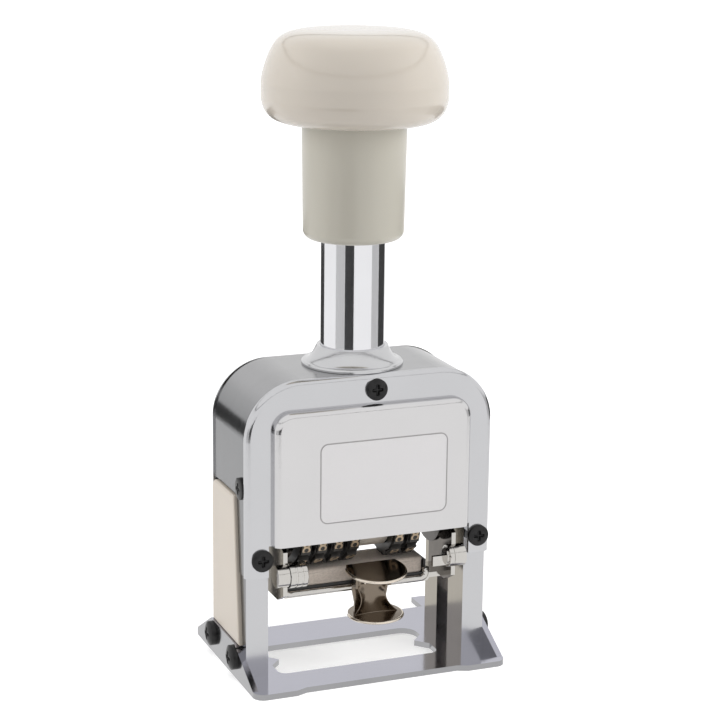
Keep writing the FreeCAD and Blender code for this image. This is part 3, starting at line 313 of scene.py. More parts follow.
def remap(value, low, high):
    """A share from 0 to 1 carried to the range from low to high."""
    inputs = {"Value": value, "To Min": low, "To Max": high}
    return add(value.id_data, "ShaderNodeMapRange", inputs).outputs["Result"]


def ramp(value, low, high):
    """0 at low, 1 at high, and the line between, kept within 0 and 1."""
    inputs = {"Value": value, "From Min": low, "From Max": high}
    return add(value.id_data, "ShaderNodeMapRange", inputs).outputs["Result"]


def blended(share, first, second):
    """A colour between two, by a share from 0 to 1; each is a socket or a plain colour."""
    first, second = ((*colour, 1) if isinstance(colour, tuple) else colour for colour in (first, second))
    inputs = {"Factor": share, "A": first, "B": second}
    return add(share.id_data, "ShaderNodeMix", inputs, data_type="RGBA").outputs["Result"]


def shade(colour, factor):
    """A colour made darker or lighter by a factor."""
    return tuple(channel * factor for channel in colour)


def mottled(share, colour, low, high):
    """A colour that wanders with a share between a darker and a lighter shade of itself."""
    return blended(share, shade(colour, low), shade(colour, high))


def bump(shader, height, strength, distance):
    """Raise the shader's surface by a height from 0 to 1, times the distance."""
    inputs = {"Height": height, "Strength": strength, "Distance": distance}
    fill(shader, {"Normal": add(shader.id_data, "ShaderNodeBump", inputs).outputs["Normal"]})


def worked(operation, first, *others):
    """A Math node's value: its first input is a socket, the others are sockets or numbers."""
    inputs = enumerate((first, *others))
    return add(first.id_data, "ShaderNodeMath", inputs, operation=operation).outputs[0]


def parts_of(vector):
    """The x, y and z of a vector socket."""
    return add(vector.id_data, "ShaderNodeSeparateXYZ", {0: vector}).outputs


def facing(place):
    """The x, y and z of the way that a surface points, in its coordinates' material."""
    return parts_of(add(place.id_data, "ShaderNodeNewGeometry").outputs["Normal"])


# Painted shade: dark colours for faces that look into the frame, standing for the shade inside it.
PAINTED_INSIDE_SHADE = ((0.035, 0.033, 0.03), (0.06, 0.056, 0.05))


def plated(name, low, high, grain, depth=0.00002, strength=0.25):
    """A new metal with a fine grain, in its roughness from low to high and as a trace of unevenness. Returns
    the material, its shader and its Object coordinates; its colour is still to be filled in."""
    material, shader, place = new_material(name)
    streaks = noise(stretched(place, grain), 1.0, 4.0, 0.6)
    fill(shader, {"Metallic": 1.0, "Roughness": remap(streaks, low, high)})
    bump(shader, streaks, strength, depth)
    return material, shader, place


def plated_metal(name, colour, low, high, grain, depth=0.00002):
    """Bright plating with fine grain and faint clouds in its colour."""
    material, shader, place = plated(name, low, high, grain, depth)
    fill(shader, {"Base Color": mottled(noise(place, 60.0, 4.0), colour, 0.93, 1.04)})
    return material


def facing_in(place, axis, middle):
    """1 on faces that point at the object's middle along one axis, 0 on the others."""
    spot = worked("SUBTRACT", parts_of(place)[axis], middle)
    return ramp(worked("MULTIPLY", facing(place)[axis], spot), -1 * MM, -8 * MM)


def cover_plating(name, colour, panel):
    """The covers' plating: bright outside, with faint upright grain; the raised panel is painted a little
    lighter and warmer, a painted reflection, and the faces inside are painted dark, a painted shade."""
    material, shader, place = plated(name, 0.12, 0.20, (700, 120, 500))
    panel_foot, panel_face, rim_edge, rim_inside = 15.3 * MM, 17.6 * MM, 34 * MM, 32.5 * MM
    spot = parts_of(place)
    away = worked("ABSOLUTE", worked("SUBTRACT", spot["Y"], STEM_Y))
    raised = ramp(away, panel_foot, panel_face)
    clouds = noise(place, 60.0, 4.0)
    # Painted reflection: the raised panel takes a lighter and warmer copy of the plating.
    plain, light = (mottled(clouds, metal, 0.97, 1.03) for metal in (colour, panel))
    within_rim = ramp(worked("ABSOLUTE", spot["X"]), rim_edge, rim_inside)
    # Painted shade: faces inside the covers that look inwards take the dark inside colours.
    inside = worked("MULTIPLY", facing_in(place, "Y", STEM_Y), within_rim)
    outside = blended(raised, plain, light)
    inward_dark = blended(clouds, *PAINTED_INSIDE_SHADE)
    fill(shader, {"Base Color": blended(inside, outside, inward_dark)})
    return material


def base_finish(name, colour):
    """The base plate: mirror-like plating with a cool cast, its upright cut edges painted darker, a painted
    shade.
    """
    material, shader, place = plated(name, 0.07, 0.16, (200, 200, 200))
    level = ramp(worked("ABSOLUTE", facing(place)["Z"]), 0.2, 0.6)
    clouds = noise(place, 60.0, 4.0)
    # Painted shade: the upright edge faces take a darker colour than the top face.
    edge = blended(clouds, (0.30, 0.30, 0.31), (0.42, 0.42, 0.43))
    flat = mottled(clouds, colour, 0.96, 1.05)
    fill(shader, {"Base Color": blended(level, edge, flat)})
    return material


def arm_finish(name, colour, inward_dark):
    """The ink arms: bright nickel outside, and dark on the sides that face the wheels."""
    material, shader, place = plated(name, 0.10, 0.22, (500, 500, 500))
    clouds = noise(place, 250.0, 4.0)
    bright = mottled(clouds, colour, 0.93, 1.04)
    dark = mottled(clouds, inward_dark, 0.6, 1.4)
    fill(shader, {"Base Color": blended(facing_in(place, "X", 0.0), bright, dark)})
    return material


def arch_plating(name, *colours):
    """The cast arch, from its colours on the front, the outsides, the top and the insides of the legs: the
    front is bright, the top and outsides are painted darker and the legs' insides darker still and warm, as
    painted shade and painted reflection, and higher up the insides take the painted inside shade. The shares
    come from the way that each face points."""
    material, shader, place = plated(name, 0.13, 0.24, (250, 1400, 250), 0.00001, 0.2)
    normal = facing(place)
    side_painted_shade = ramp(worked("ABSOLUTE", normal["X"]), 0.25, 0.8)
    top_painted_shade = ramp(worked("ABSOLUTE", normal["Z"]), 0.4, 0.9)
    leg_top, under_roof = 33 * MM, 40 * MM
    above_legs = ramp(parts_of(place)["Z"], leg_top, under_roof)
    clouds = noise(stretched(place, (40, 300, 40)), 1.0, 4.0)
    # Painted shade and painted reflection: each way that a face points takes its own copy of the plating
    # colour.
    front, outer, top, inner = (mottled(clouds, colour, 0.96, 1.05) for colour in colours)
    outside = blended(top_painted_shade, blended(side_painted_shade, front, outer), top)
    # Painted shade: above the legs the insides take the dark inside colours.
    inside = blended(above_legs, inner, blended(clouds, *PAINTED_INSIDE_SHADE))
    fill(shader, {"Base Color": blended(facing_in(place, "X", 0.0), outside, inside)})
    return material


def label_finish(name, colour):
    """The bare label place: satin, with a very fine grain."""
    material, shader, place = new_material(name)
    grain = noise(place, 1500.0, 3.0)
    fill(shader, {"Base Color": mottled(grain, colour, 0.985, 1.015),
                  "Roughness": remap(grain, 0.45, 0.6)})
    bump(shader, grain, 0.1, 0.00001)
    return material


def moulded_plastic(name, colour, roughness, coat, waves):
    """Glossy moulded plastic: a faint mottle in the colour, some wear in the gloss and slow waves in its
    surface."""
    material, shader, place = new_material(name)
    wear = noise(place, 120.0, 2.0)
    fill(shader, {"Base Color": mottled(noise(place, 60.0, 2.0), colour, 0.985, 1.015),
                  "Roughness": remap(wear, roughness * 0.85, roughness * 1.15),
                  "Coat Weight": coat, "Coat Roughness": 0.05,
                  "Subsurface Weight": 0.04, "Subsurface Radius": (0.002, 0.0015, 0.001)})
    bump(shader, noise(place, 45.0, 1.0), 0.12, waves)
    return material


def black_finish(name):
    """Black oxide on a screw: dark steel with a slight sheen and worn specks."""
    material, shader, place = new_material(name)
    specks = noise(place, 900.0, 4.0)
    fill(shader, {"Base Color": blended(specks, (0.008, 0.008, 0.009), (0.035, 0.034, 0.034)),
                  "Metallic": 0.6, "Roughness": remap(specks, 0.22, 0.42)})
    bump(shader, specks, 0.2, 0.00003)
    return material


def felt_finish(name, colour):
    """Felt: short fibres, drawn out a little along the pad, rough, with a soft sheen."""
    material, shader, place = new_material(name)
    fibres = noise(stretched(place, (1400, 2200, 2200)), 1.0, 6.0, 0.7)
    fill(shader, {"Base Color": mottled(fibres, colour, 0.55, 1.35), "Roughness": 0.95,
                  "Sheen Weight": 0.3})
    bump(shader, fibres, 0.6, 0.0002)
    return material


def wheel_finish(name, colour):
    """Wheel metal with a little oil on it: blackened on the wheels; on the figures a tan that is a painted
    reflection.
    """
    material, shader, place = new_material(name)
    smear = noise(place, 400.0, 4.0)
    fill(shader, {"Base Color": mottled(smear, colour, 0.5, 1.6), "Metallic": 0.7,
                  "Roughness": remap(smear, 0.25, 0.5)})
    bump(shader, smear, 0.2, 0.00004)
    return material


FINISHES = {}


def finishes(colours):
    """Every finish by its name, made once and kept in FINISHES."""
    if not FINISHES:
        plating, cream, cover = tuple(colours.plating), tuple(colours.cream), tuple(colours.cover_cream)
        grip = tuple(np.array(cream) * (0.85, 0.89, 0.88))
        FINISHES.update({
            # Painted reflection: the second colour is the covers' raised panel, lighter and warmer than the
            # plating.
            "plating": cover_plating("cover_plating", plating, (0.675, 0.665, 0.668)),
            # Painted shade: the arch's outsides, top and legs' insides get darker copies of the plating than
            # its front.
            "arch": arch_plating("arch_plating", shade(plating, 0.97), (0.23, 0.232, 0.238),
                                 (0.36, 0.36, 0.365), (0.36, 0.33, 0.28)),
            "base": base_finish("base_plating", (0.44, 0.44, 0.495)),
            "collar": plated_metal("collar_plating", (0.60, 0.60, 0.61), 0.1, 0.24, (150, 150, 900), 0.00006),
            "arm": arm_finish("arm_nickel", (0.62, 0.60, 0.57), (0.13, 0.115, 0.10)),
            "mirror": plated_metal("tube_plating", (0.82, 0.82, 0.84), 0.05, 0.11, (400, 400, 100), 0.000005),
            "nickel": plated_metal("nickel", (0.62, 0.60, 0.57), 0.10, 0.2, (500, 500, 500)),
            # Painted reflection: the nickel tabs and neck are made dark brown, standing for the brownish
            # surround that they reflect.
            "tab": plated_metal("tab_nickel_painted_reflection", (0.23, 0.19, 0.15), 0.12, 0.24, (400, 400, 900)),
            # Painted highlight: the tabs' rims, the clip pin and its spring get a bright warm copy of the
            # nickel.
            "rim": plated_metal("tab_rim_painted_highlight", (0.80, 0.72, 0.62), 0.12, 0.2, (600, 600, 600)),
            "line": plated_metal("label_line", (0.36, 0.35, 0.35), 0.3, 0.45, (600, 600, 600)),
            "label": label_finish("label_place", tuple(colours.label)),
            "steel": plated_metal("plain_steel", (0.42, 0.42, 0.43), 0.2, 0.4, (1200, 1200, 200)),
            # Painted shade: the yoke, detent comb and feed lever are made near black, standing for the shade
            # inside the frame.
            "carriage": plated_metal("carriage_steel_painted_shade", (0.10, 0.092, 0.085), 0.15, 0.3, (600, 600, 600)),
            "brass": plated_metal("brass", (0.62, 0.47, 0.2), 0.2, 0.35, (500, 500, 500)),
            "black": black_finish("black_screws"),
            "cream": moulded_plastic("knob_plastic", cream, 0.17, 0.5, 0.00002),
            "sleeve": moulded_plastic("grip_plastic", grip, 0.3, 0.2, 0.00002),
            "cover": moulded_plastic("side_cover_plastic", cover, 0.35, 0.1, 0.00003),
            # Painted light: the spacer drum gets a lighter copy of the cream, standing for light falling on
            # it.
            "spacer": moulded_plastic("drum_plastic_painted_light", shade(cream, 1.15), 0.3, 0.1, 0.00003),
            "dark": moulded_plastic("dark_plastic", (0.02, 0.018, 0.017), 0.4, 0.0, 0.00003),
            "felt": felt_finish("pad_felt", tuple(colours.felt)),
            "wheel": wheel_finish("wheel_metal", (0.05, 0.047, 0.043)),
            # Painted reflection: the figures are given tan for the brownish surround that their steel
            # reflects.
            "figures": wheel_finish("figure_faces_painted_reflection", tuple(colours.figures)),
        })
    return FINISHES


def finish(piece, name):
    """Give a piece, or a carried node, one finish in all its slots."""
    material = finishes(bpy.context.scene.nm_colours)[name]
    slots = piece.data.materials
    if not slots:
        slots.append(material)
    for number in range(len(slots)):
        slots[number] = material


def operator_done(context):
    """Bring the scene up to date and report success."""
    context.view_layer.update()
    return {"FINISHED"}


# Pieces.

class StageOperator(bpy.types.Operator):
    """Set the floor, the lamps, the world and the camera."""

    bl_idname = "nm.stage"
    bl_label = "Stage"

    def execute(self, context):
        make_floor()
        for make in (make_lamps, make_world, make_screens, make_camera):
            make(context.scene.nm_stage)
        return operator_done(context)


class HandleOperator(bpy.types.Operator):
    """Turn the knob and the sleeve of the handle."""

    bl_idname = "nm.handle"
    bl_label = "Handle"

    def execute(self, context):
        sizes = context.scene.nm_handle
        knob = surface("knob_shell", knob_points(sizes))
        sleeve = surface("grip_shell", sleeve_points(sizes))
        for piece, node, kind in ((knob, "knob", "cream"), (sleeve, "grip_sleeve", "sleeve")):
            finish(piece, kind)
            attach(piece, "plunger")
            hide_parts(node)
        return operator_done(context)


class StemOperator(bpy.types.Operator):
    """Turn the bright tube and its flared collar."""

    bl_idname = "nm.stem"
    bl_label = "Tube and collar"

    def execute(self, context):
        segments = context.scene.nm_handle.segments
        tube = surface("tube_surface", tube_points(segments))
        collar = surface("collar_surface", collar_points(segments))
        for piece, node, kind in ((tube, "guide_tube", "mirror"), (collar, "tube_collar", "collar")):
            finish(piece, kind)
            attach(piece, "frame")
            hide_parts(node)
        return operator_done(context)


class CarriedFinishOperator(bpy.types.Operator):
    """Give each carried node its finish."""

    bl_idname = "nm.carried"
    bl_label = "Carried pieces"

    def execute(self, context):
        for names, kind in CARRIED:
            for name in names:
                finish(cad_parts[name], kind)
        return operator_done(context)


class ScrewOperator(bpy.types.Operator):
    """Turn the domed heads of all the screws, each with its crossed recess."""

    bl_idname = "nm.screws"
    bl_label = "Screws"

    def execute(self, context):
        for node, heads in screw_heads().items():
            piece = surface(f"{node}_heads", heads)
            finish(piece, "black")
            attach(piece, "frame")
            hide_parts(node)
        return operator_done(context)


class LabelOperator(bpy.types.Operator):
    """Lay the bare label place and its thin outline on the front panel."""

    bl_idname = "nm.label"
    bl_label = "Label place"

    def execute(self, context):
        outline, field = label_points()
        for name, grid, kind in (("label_outline", outline, "line"), ("label_field", field, "label")):
            piece = surface(name, grid, smooth=False)
            finish(piece, kind)
            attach(piece, "frame")
        return operator_done(context)


class FigureOperator(bpy.types.Operator):
    """Set a raised mirrored figure on each of the ten faces of each wheel."""

    bl_idname = "nm.figures"
    bl_label = "Figures"

    def execute(self, context):
        sizes = context.scene.nm_pads
        shapes = [figure_shape(str(number), sizes) for number in range(10)]
        for number, node in enumerate(WHEELS):
            points, faces = wheel_figures(shapes, node, sizes)
            mesh = bpy.data.meshes.new(f"{node}_figures")
            mesh.from_pydata(points.tolist(), [], faces)
            piece = linked(f"{node}_figures", mesh)
            seal(piece)
            finish(piece, "figures")
            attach(piece, f"wheel_{number + 1}")
        return operator_done(context)


class PadOperator(bpy.types.Operator):
    """Shape the felt of the ink pad, and the rolled front lip of its tray."""

    bl_idname = "nm.pad"
    bl_label = "Ink pad"

    def execute(self, context):
        felt = surface("felt_pad", felt_points(context.scene.nm_pads))
        finish(felt, "felt")
        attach(felt, "ink_unit")
        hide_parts("ink_pad")
        lip = surface("tray_lip", lip_points())
        finish(lip, "nickel")
        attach(lip, "ink_unit")
        return operator_done(context)


class TabOperator(bpy.types.Operator):
    """Give the finger tabs their rolled rims, and the lower one its hollow neck."""

    bl_idname = "nm.tabs"
    bl_label = "Finger tabs"

    def execute(self, context):
        for name, grid, kind, body in (
                ("upper_tab_rim", upper_rim_points(), "rim", "upper_tab"),
                ("lower_tab_rim", lower_rim_points(), "rim", "ink_unit"),
                ("tab_neck", neck_points(), "tab", "ink_unit")):
            piece = surface(name, grid)
            finish(piece, kind)
            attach(piece, body)
        return operator_done(context)


class BossOperator(bpy.types.Operator):
    """Turn the grooved bright boss on the left ink arm and the ringed one on the right."""

    bl_idname = "nm.bosses"
    bl_label = "Bosses"

    def execute(self, context):
        piece = surface("arm_bosses", boss_points())
        finish(piece, "nickel")
        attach(piece, "ink_unit")
        return operator_done(context)


AXLE = at(0, -4.0, 40.8)[1:]
ROLLER_AXIS = at(0, -15.0, 30.0)[1:]
WHEELS = tuple(f"number_wheel_{number}" for number in range(1, 7))
# The finish of every node that comes with the frame.
CARRIED = (
    (("base_plate",), "base"),
    (("front_cover", "back_cover"), "plating"),
    (("frame_arch",), "arch"),
    (("side_cover_left", "side_cover_right"), "cover"),
    (("front_cover_screws", "back_cover_screws", "base_screws", "side_wall_screws"), "black"),
    (("guide_tube", "tube_collar"), "mirror"),
    (("guide_bush",), "brass"),
    (("knob", "grip_sleeve"), "cream"),
    (("plunger_rod", "thrust_ring", "rod_nut", "return_spring", "wheel_shaft"), "steel"),
    (("yoke", "detent_comb", "feed_lever"), "carriage"),
    (("ink_arm_left", "ink_arm_right"), "arm"),
    (("shaft_nuts", "guide_studs", "pad_tray"), "nickel"),
    (("lower_finger_tab", "upper_finger_tab"), "tab"),
    (("clip_pin", "clip_spring"), "rim"),
    (("spacer_drum",), "spacer"),
    (("pad_holder",), "dark"),
    (("ink_pad",), "felt"),
    (WHEELS, "wheel"),
)


def knob_points(sizes):
    """The knob, turned: a nearly flat crown, a full round shoulder, the widest ring low down and a shallow
    foot, rounded between, then in to the sleeve, up its bore and round the boss that holds the rod."""
    low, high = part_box("knob")
    wide = sizes.knob_radius / MM
    corners = np.array([
        (0.0, 0.0), (11.0, -0.05), (16.8, -0.7), (20.6, -2.5), (22.8, -6.2), (wide - 0.5, -10.6),
        (wide + 0.25, -14.8), (wide + 0.15, -18.2), (24.0, -21.8), (21.0, -24.3), (14.6, -25.0)])
    line = smooth_line(corners * MM + [0.0, high.z])
    line[:, 0] = np.minimum(line[:, 0], high.x)
    clearance, headroom, boss, boss_height = 0.05 * MM, 32.0 * MM, 6.5 * MM, 9.0 * MM
    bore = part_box("grip_sleeve")[1].x + clearance
    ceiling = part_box("guide_tube")[1].z + headroom
    boss_foot = ceiling - boss_height
    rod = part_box("plunger_rod")[1]
    inside = [(bore, low.z), (bore, ceiling), (boss, ceiling), (boss, boss_foot), (rod.x, boss_foot),
              (rod.x, rod.z), (0.0, rod.z)]
    return lathe(np.concatenate([line, inside]), sizes.segments)


def sleeve_points(sizes):
    """The sleeve, turned: a slightly tapering cylinder with a bore, its foot rounded by a quarter circle."""
    low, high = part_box("grip_sleeve")
    bore, taper, straight, round_foot, top_edge, bore_edge = np.array([9.05, 0.4, 6.0, 2.4, 0.3, 0.4]) * MM
    rounded = np.array([high.x - taper - round_foot, low.z + round_foot]) + round_foot * arc(0, -90, 10)
    line = np.concatenate([
        [(bore, high.z), (high.x - top_edge, high.z), (high.x, high.z - top_edge),
         (high.x, high.z - straight)],
        rounded, [(bore + bore_edge, low.z), (bore, low.z + bore_edge), (bore, high.z)]])
    return lathe(line, sizes.segments)


def screw_head(radius, rise, skirt):
    """A domed head on its base at z = 0: a dome that falls with a power of the share of the radius, less a
    crossed recess with soft walls, and a straight side. Its rings go from the crown out, down and in."""
    rings, edge_fall, fall_power = 34, 0.42, 2.6
    half_length, half_width, soft, deepest = 0.5 * radius, 0.36 * MM, 0.07 * MM, min(0.8 * MM, rise * 0.7)
    share = np.concatenate([np.linspace(0, 1, rings), [1.0, 1.0, 0.0]])
    angle = np.linspace(0, FULL_TURN, 72, endpoint=False)
    across = radius * share[:, None] * np.cos(angle)
    along = radius * share[:, None] * np.sin(angle)
    dome = (rise * (1 - edge_fall * share ** fall_power))[:, None]

    def within(distance, half):
        """1 nearer than a half, 0 past it, with a soft step between."""
        return 1 / (1 + np.exp((np.abs(distance) - half) / soft))

    first_bar = within(across, half_length) * within(along, half_width)
    second_bar = within(along, half_length) * within(across, half_width)
    height = dome - deepest * np.maximum(first_bar, second_bar)
    height[rings] = 0.0
    height[rings + 1:] = -skirt
    return together(across, along, height)


def screw_heads():
    """The heads of each group of screws, set on the plates that carry them: each cover's at an x and z, those
    of the base and the side walls at a y and z on both sides."""
    found = {}
    cover_places = ((-31.1, 35.0), (31.9, 35.0), (1.1, 79.4))
    rise = 1.4 * MM
    head = screw_head(2.95 * MM, rise, 2.5 * MM)
    for node, outward, right, face in (
            ("front_cover_screws", "-Y", "X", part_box("front_cover_screws")[0].y + rise),
            ("back_cover_screws", "Y", "-X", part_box("back_cover_screws")[1].y - rise)):
        found[node] = [turned_to(head, (x * MM, face, z * MM), (right, "Z", outward))
                       for x, z in cover_places]
    for node, radius, rise, places in (
            ("base_screws", 3.4 * MM, 2.0 * MM, ((-7.7, 5.7), (11.2, 5.7))),
            ("side_wall_screws", 3.0 * MM, 0.7 * MM, ((-9.8, 54.0),))):
        low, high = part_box(node)
        head = screw_head(radius, rise, 2.0 * MM)
        found[node] = [turned_to(head, (face, *at(0, y, z)[1:]), (right, "Z", outward))
                       for outward, right, face in (("-X", "-Y", low.x + rise), ("X", "Y", high.x - rise))
                       for y, z in places]
    return found


def label_points():
    """The label place's thin outline, a flat ring that stands a little proud, and the bare field inside it:
    rectangles with round corners, their rows drawn in from the outline."""
    low, high = np.array([-15.8, 44.2]) * MM, np.array([21.0, 66.5]) * MM
    corner, spacing, thick, width = 2.2 * MM, 0.5 * MM, 0.05 * MM, 0.32 * MM
    field_thick = 0.6 * thick
    points, ways = rounded_outline(*(high - low) / 2, corner, spacing)
    ring = slab(points, ways, [(0, 1, 0), (0, 1, thick), (width, 1, thick), (width, 1, 0), (0, 1, 0)])
    field = slab(points, ways, [(width, 0, -thick), (width, 1, -thick), (width, 1, field_thick),
                                (width, 0, field_thick)])
    x, z = (low + high) / 2
    place = (x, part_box("front_cover")[0].y, z)
    return [turned_to(grid, place, ("X", "Z", "-Y")) for grid in (ring, field)]


def figure_shape(character, sizes):
    """One figure as a solid: Blender's own plain typeface, raised, made a mesh and scaled to its face."""
    narrow = 0.45
    text = bpy.data.curves.new("figure", "FONT")
    text.body = character
    text.extrude = 0.5
    text.resolution_u = 4
    thing = linked("figure", text)
    bpy.context.view_layer.update()
    mesh = bpy.data.meshes.new_from_object(thing.evaluated_get(bpy.context.evaluated_depsgraph_get()))
    points = np.empty(len(mesh.vertices) * 3, np.float32)
    mesh.vertices.foreach_get("co", points)
    points = points.reshape(-1, 3).astype(float)
    faces = [tuple(face.vertices) for face in mesh.polygons]
    bpy.data.objects.remove(thing)
    bpy.data.curves.remove(text)
    bpy.data.meshes.remove(mesh)
    low, high = points.min(axis=0), points.max(axis=0)
    points = (points - (low + high) / 2) / (high - low)
    width = sizes.figure_width * (narrow if character == "1" else 1.0)
    return points * np.array([width, sizes.figure_height, 1.0]), faces


def wheel_figures(shapes, node, sizes):
    """Ten figures round a wheel: a figure's width goes along the shaft, mirrored as for printing, its height
    goes round the wheel, and its thickness out from the wheel."""
    low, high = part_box(node)
    face = (high.z - low.z) / 2
    middle = low.x + 1.7 * MM
    every_point, every_face = [], []
    count = 0
    for number, (points, faces) in enumerate(shapes):
        angle = math.radians(-90 + 36 * number) - points[:, 1] / face
        radius = face + sizes.figure_rise * points[:, 2]
        every_point.append(together(middle - points[:, 0], AXLE[0] + radius * np.cos(angle),
                                    AXLE[1] + radius * np.sin(angle)))
        every_face += [tuple(corner + count for corner in reversed(corners)) for corners in faces]
        count += len(points)
    return np.concatenate(every_point), every_face


def felt_points(sizes):
    """The felt: a block with round corners, its sides drawn in by a half sine of their height, its top edge a
    quarter circle, and its top crowned, falling with the fourth power of the share of the way out."""
    low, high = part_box("ink_pad")
    half = (high - low) / 2
    spacing = 0.8 * MM
    points, ways = rounded_outline(half.x, half.y, sizes.felt_corner, spacing)
    tall = high.z - low.z
    foot_inset, waist, edge, crown = 0.4 * MM, 0.22 * MM, 0.8 * MM, 0.12 * MM
    turn = np.linspace(0, math.pi / 2, 6)
    side = np.linspace(0.15, 0.8, 6)
    rows = [(foot_inset, share, 0) for share in (0.0, 0.4, 0.8, 1.0)]
    rows += [(waist * math.sin(math.pi * share), 1, tall * share) for share in side]
    rows += [(edge * (1 - math.cos(angle)), 1, tall - crown - edge * (1 - math.sin(angle))) for angle in turn]
    rows += [(edge, share, tall - crown * share ** 4) for share in (0.98, 0.9, 0.75, 0.5, 0.25, 0.0)]
    middle = (low + high) / 2
    return slab(points, ways, rows) + np.array([middle.x, middle.y, low.z])


def swept(path, ways, profile):
    """A closed profile carried along a path in a plane: each profile point is (out along the path's way,
    height). The first and last rows close on the profile's middle."""
    profile = np.asarray(profile, float)
    middle = profile.mean(axis=0)
    ring = path[:, None, :] + ways[:, None, :] * profile[None, :, :1]
    height = np.repeat(profile[None, :, 1:], len(path), axis=0)
    body = np.concatenate([ring, height], axis=-1)
    caps = [np.concatenate([path[end] + ways[end] * middle[0], middle[1:]]) for end in (0, -1)]
    return np.concatenate([np.repeat(caps[0][None, None], len(profile), axis=1), body,
                           np.repeat(caps[1][None, None], len(profile), axis=1)])


def round_bar(radius):
    """The profile of a round bar, for swept: twenty points on a circle."""
    return radius * arc(0, 342, 20)


def lip_points():
    """The tray's rolled lip: a round bar along the tray's front foot, its ends rounded off and turned up."""
    low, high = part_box("pad_tray")
    bend, upturn, radius = 1.6 * MM, 1.4 * MM, 0.95 * MM
    left, right, level = low.x + radius, high.x - radius, low.z + radius * 0.9 + bend
    path = np.concatenate([
        [(left, level + upturn)], np.array([left + bend, level]) - bend * arc(0, 90, 8),
        np.array([right - bend, level]) + bend * arc(-90, 0, 8), [(right, level + upturn)]])
    along = np.gradient(path, axis=0)
    along /= np.linalg.norm(along, axis=1)[:, None]
    ways = np.stack([along[:, 1], -along[:, 0]], axis=1)
    grid = swept(path, ways, round_bar(radius))
    return turned_to(grid, (0.0, low.y + radius * 0.55, 0.0), ("X", "Z", "-Y"))


def rim(radius, first, last):
    """A thin round bar along a level arc, from one bearing round the front to another."""
    ways = arc(first, last, 80)
    return swept(ways * radius, ways, round_bar(0.42 * MM))


def upper_rim_points():
    """The rim of the upper tab, an arc that is lifted and then leans with the tab's disc."""
    grid = rim(8.1 * MM, -196, 16)
    lean, lift = math.radians(6.5), 0.4 * MM
    y, z = grid[..., 1].copy(), grid[..., 2] + lift
    grid[..., 1] = y * math.cos(lean) - z * math.sin(lean)
    grid[..., 2] = y * math.sin(lean) + z * math.cos(lean)
    return grid + np.array(at(1.5, -15.4, 28.3))


def lower_rim_points():
    """The rim of the lower tab, a level arc along its front edge."""
    return rim(7.5 * MM, -190, 10) + np.array(at(3.1, -11.4, 14.4))


def neck_points():
    """The neck's hollow front: a sheet from the tray down to the lower tab. Its half width falls by a half
    sine at the waist and grows with the fifth power of the way down at the foot, and at each level it comes
    forward with the square of the distance from its middle."""
    top, tall, thick = 23.6, 8.9, 0.35
    half_width, waist, flare = 4.6, 0.9, 1.9
    first_middle, shift, back_y, hollow = 1.5, 1.6, -11.5, 1.98
    level = np.linspace(0, 1, 30)
    across = np.linspace(-1, 1, 24)
    half = half_width - waist * np.sin(math.pi * np.minimum(level * 1.25, 1.0)) + flare * level ** 5
    middle = first_middle + shift * level ** 2
    depth = hollow * np.sin(math.pi * np.clip(level, 0.02, 0.98)) ** 0.5
    x = middle[:, None] + half[:, None] * across
    y = back_y - depth[:, None] * across ** 2
    front = together(x, y, (top - tall * level)[:, None])
    back = front[:, ::-1] + np.array([0.0, thick, 0.0])
    loop = np.concatenate([front, back], axis=1)
    ends = [np.repeat(loop[end].mean(axis=0)[None, None], loop.shape[1], axis=1) for end in (0, -1)]
    grid = np.concatenate([ends[0], loop, ends[1]]) * MM
    return grid + np.array([0.0, STEM_Y, 0.0])


def boss_points():
    """Two bosses turned about the arms' roller axis, their profiles in millimetres: the left one long and
    grooved, the right one a ring with a raised edge."""
    left = [(0.0, -24.0), (3.45, -24.0), (3.5, -23.9), (3.5, -22.6), (3.0, -22.5), (3.0, -22.1), (3.5, -22.0),
            (3.5, -20.9), (2.9, -20.8), (2.9, -20.5), (3.5, -20.4), (3.5, -19.2), (3.35, -19.0), (0.0, -19.0)]
    right = [(0.0, 22.0), (2.2, 22.0), (2.3, 22.1), (2.3, 22.5), (3.0, 22.6), (3.1, 22.8), (3.1, 23.9),
             (3.0, 24.0), (0.0, 24.0)]
    return [lathe(np.array(profile) * MM, 64, ROLLER_AXIS, "X") for profile in (left, right)]


def tube_points(segments):
    """The tube, turned: its chamfered top, its outside down to the foot, then the bore back up."""
    low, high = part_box("guide_tube")
    outer = high.x
    inner = outer - 1.0 * MM
    chamfer = 0.2 * MM
    line = [(inner, high.z - chamfer), (inner + chamfer, high.z), (outer - chamfer, high.z),
            (outer, high.z - chamfer), (outer, low.z), (inner, low.z), (inner, high.z - chamfer)]
    return lathe(line, segments)


def collar_points(segments):
    """The collar, turned: a flare whose height falls with a power of the way out, from the tube to a thin
    rim."""
    low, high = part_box("tube_collar")
    bore, top_radius, edge_height, chamfer = 8.72 * MM, 9.7 * MM, 1.0 * MM, 0.1 * MM
    foot_radius, hollow = high.x - 0.4 * MM, 2.2
    share = np.linspace(0, 1, 24)
    radius = top_radius + (foot_radius - top_radius) * share
    height = low.z + edge_height + (high.z - low.z - edge_height) * (1 - share) ** hollow
    line = np.concatenate([
        [(bore, high.z - chamfer), (bore + 2 * chamfer, high.z)], np.stack([radius, height], axis=1),
        [(high.x, low.z + edge_height * 0.6), (high.x, low.z + chamfer), (high.x - chamfer, low.z),
         (bore, low.z), (bore, high.z - chamfer)]])
    return lathe(line, segments)


# Stage, in metres.

WHITE = (1, 1, 1, 1)


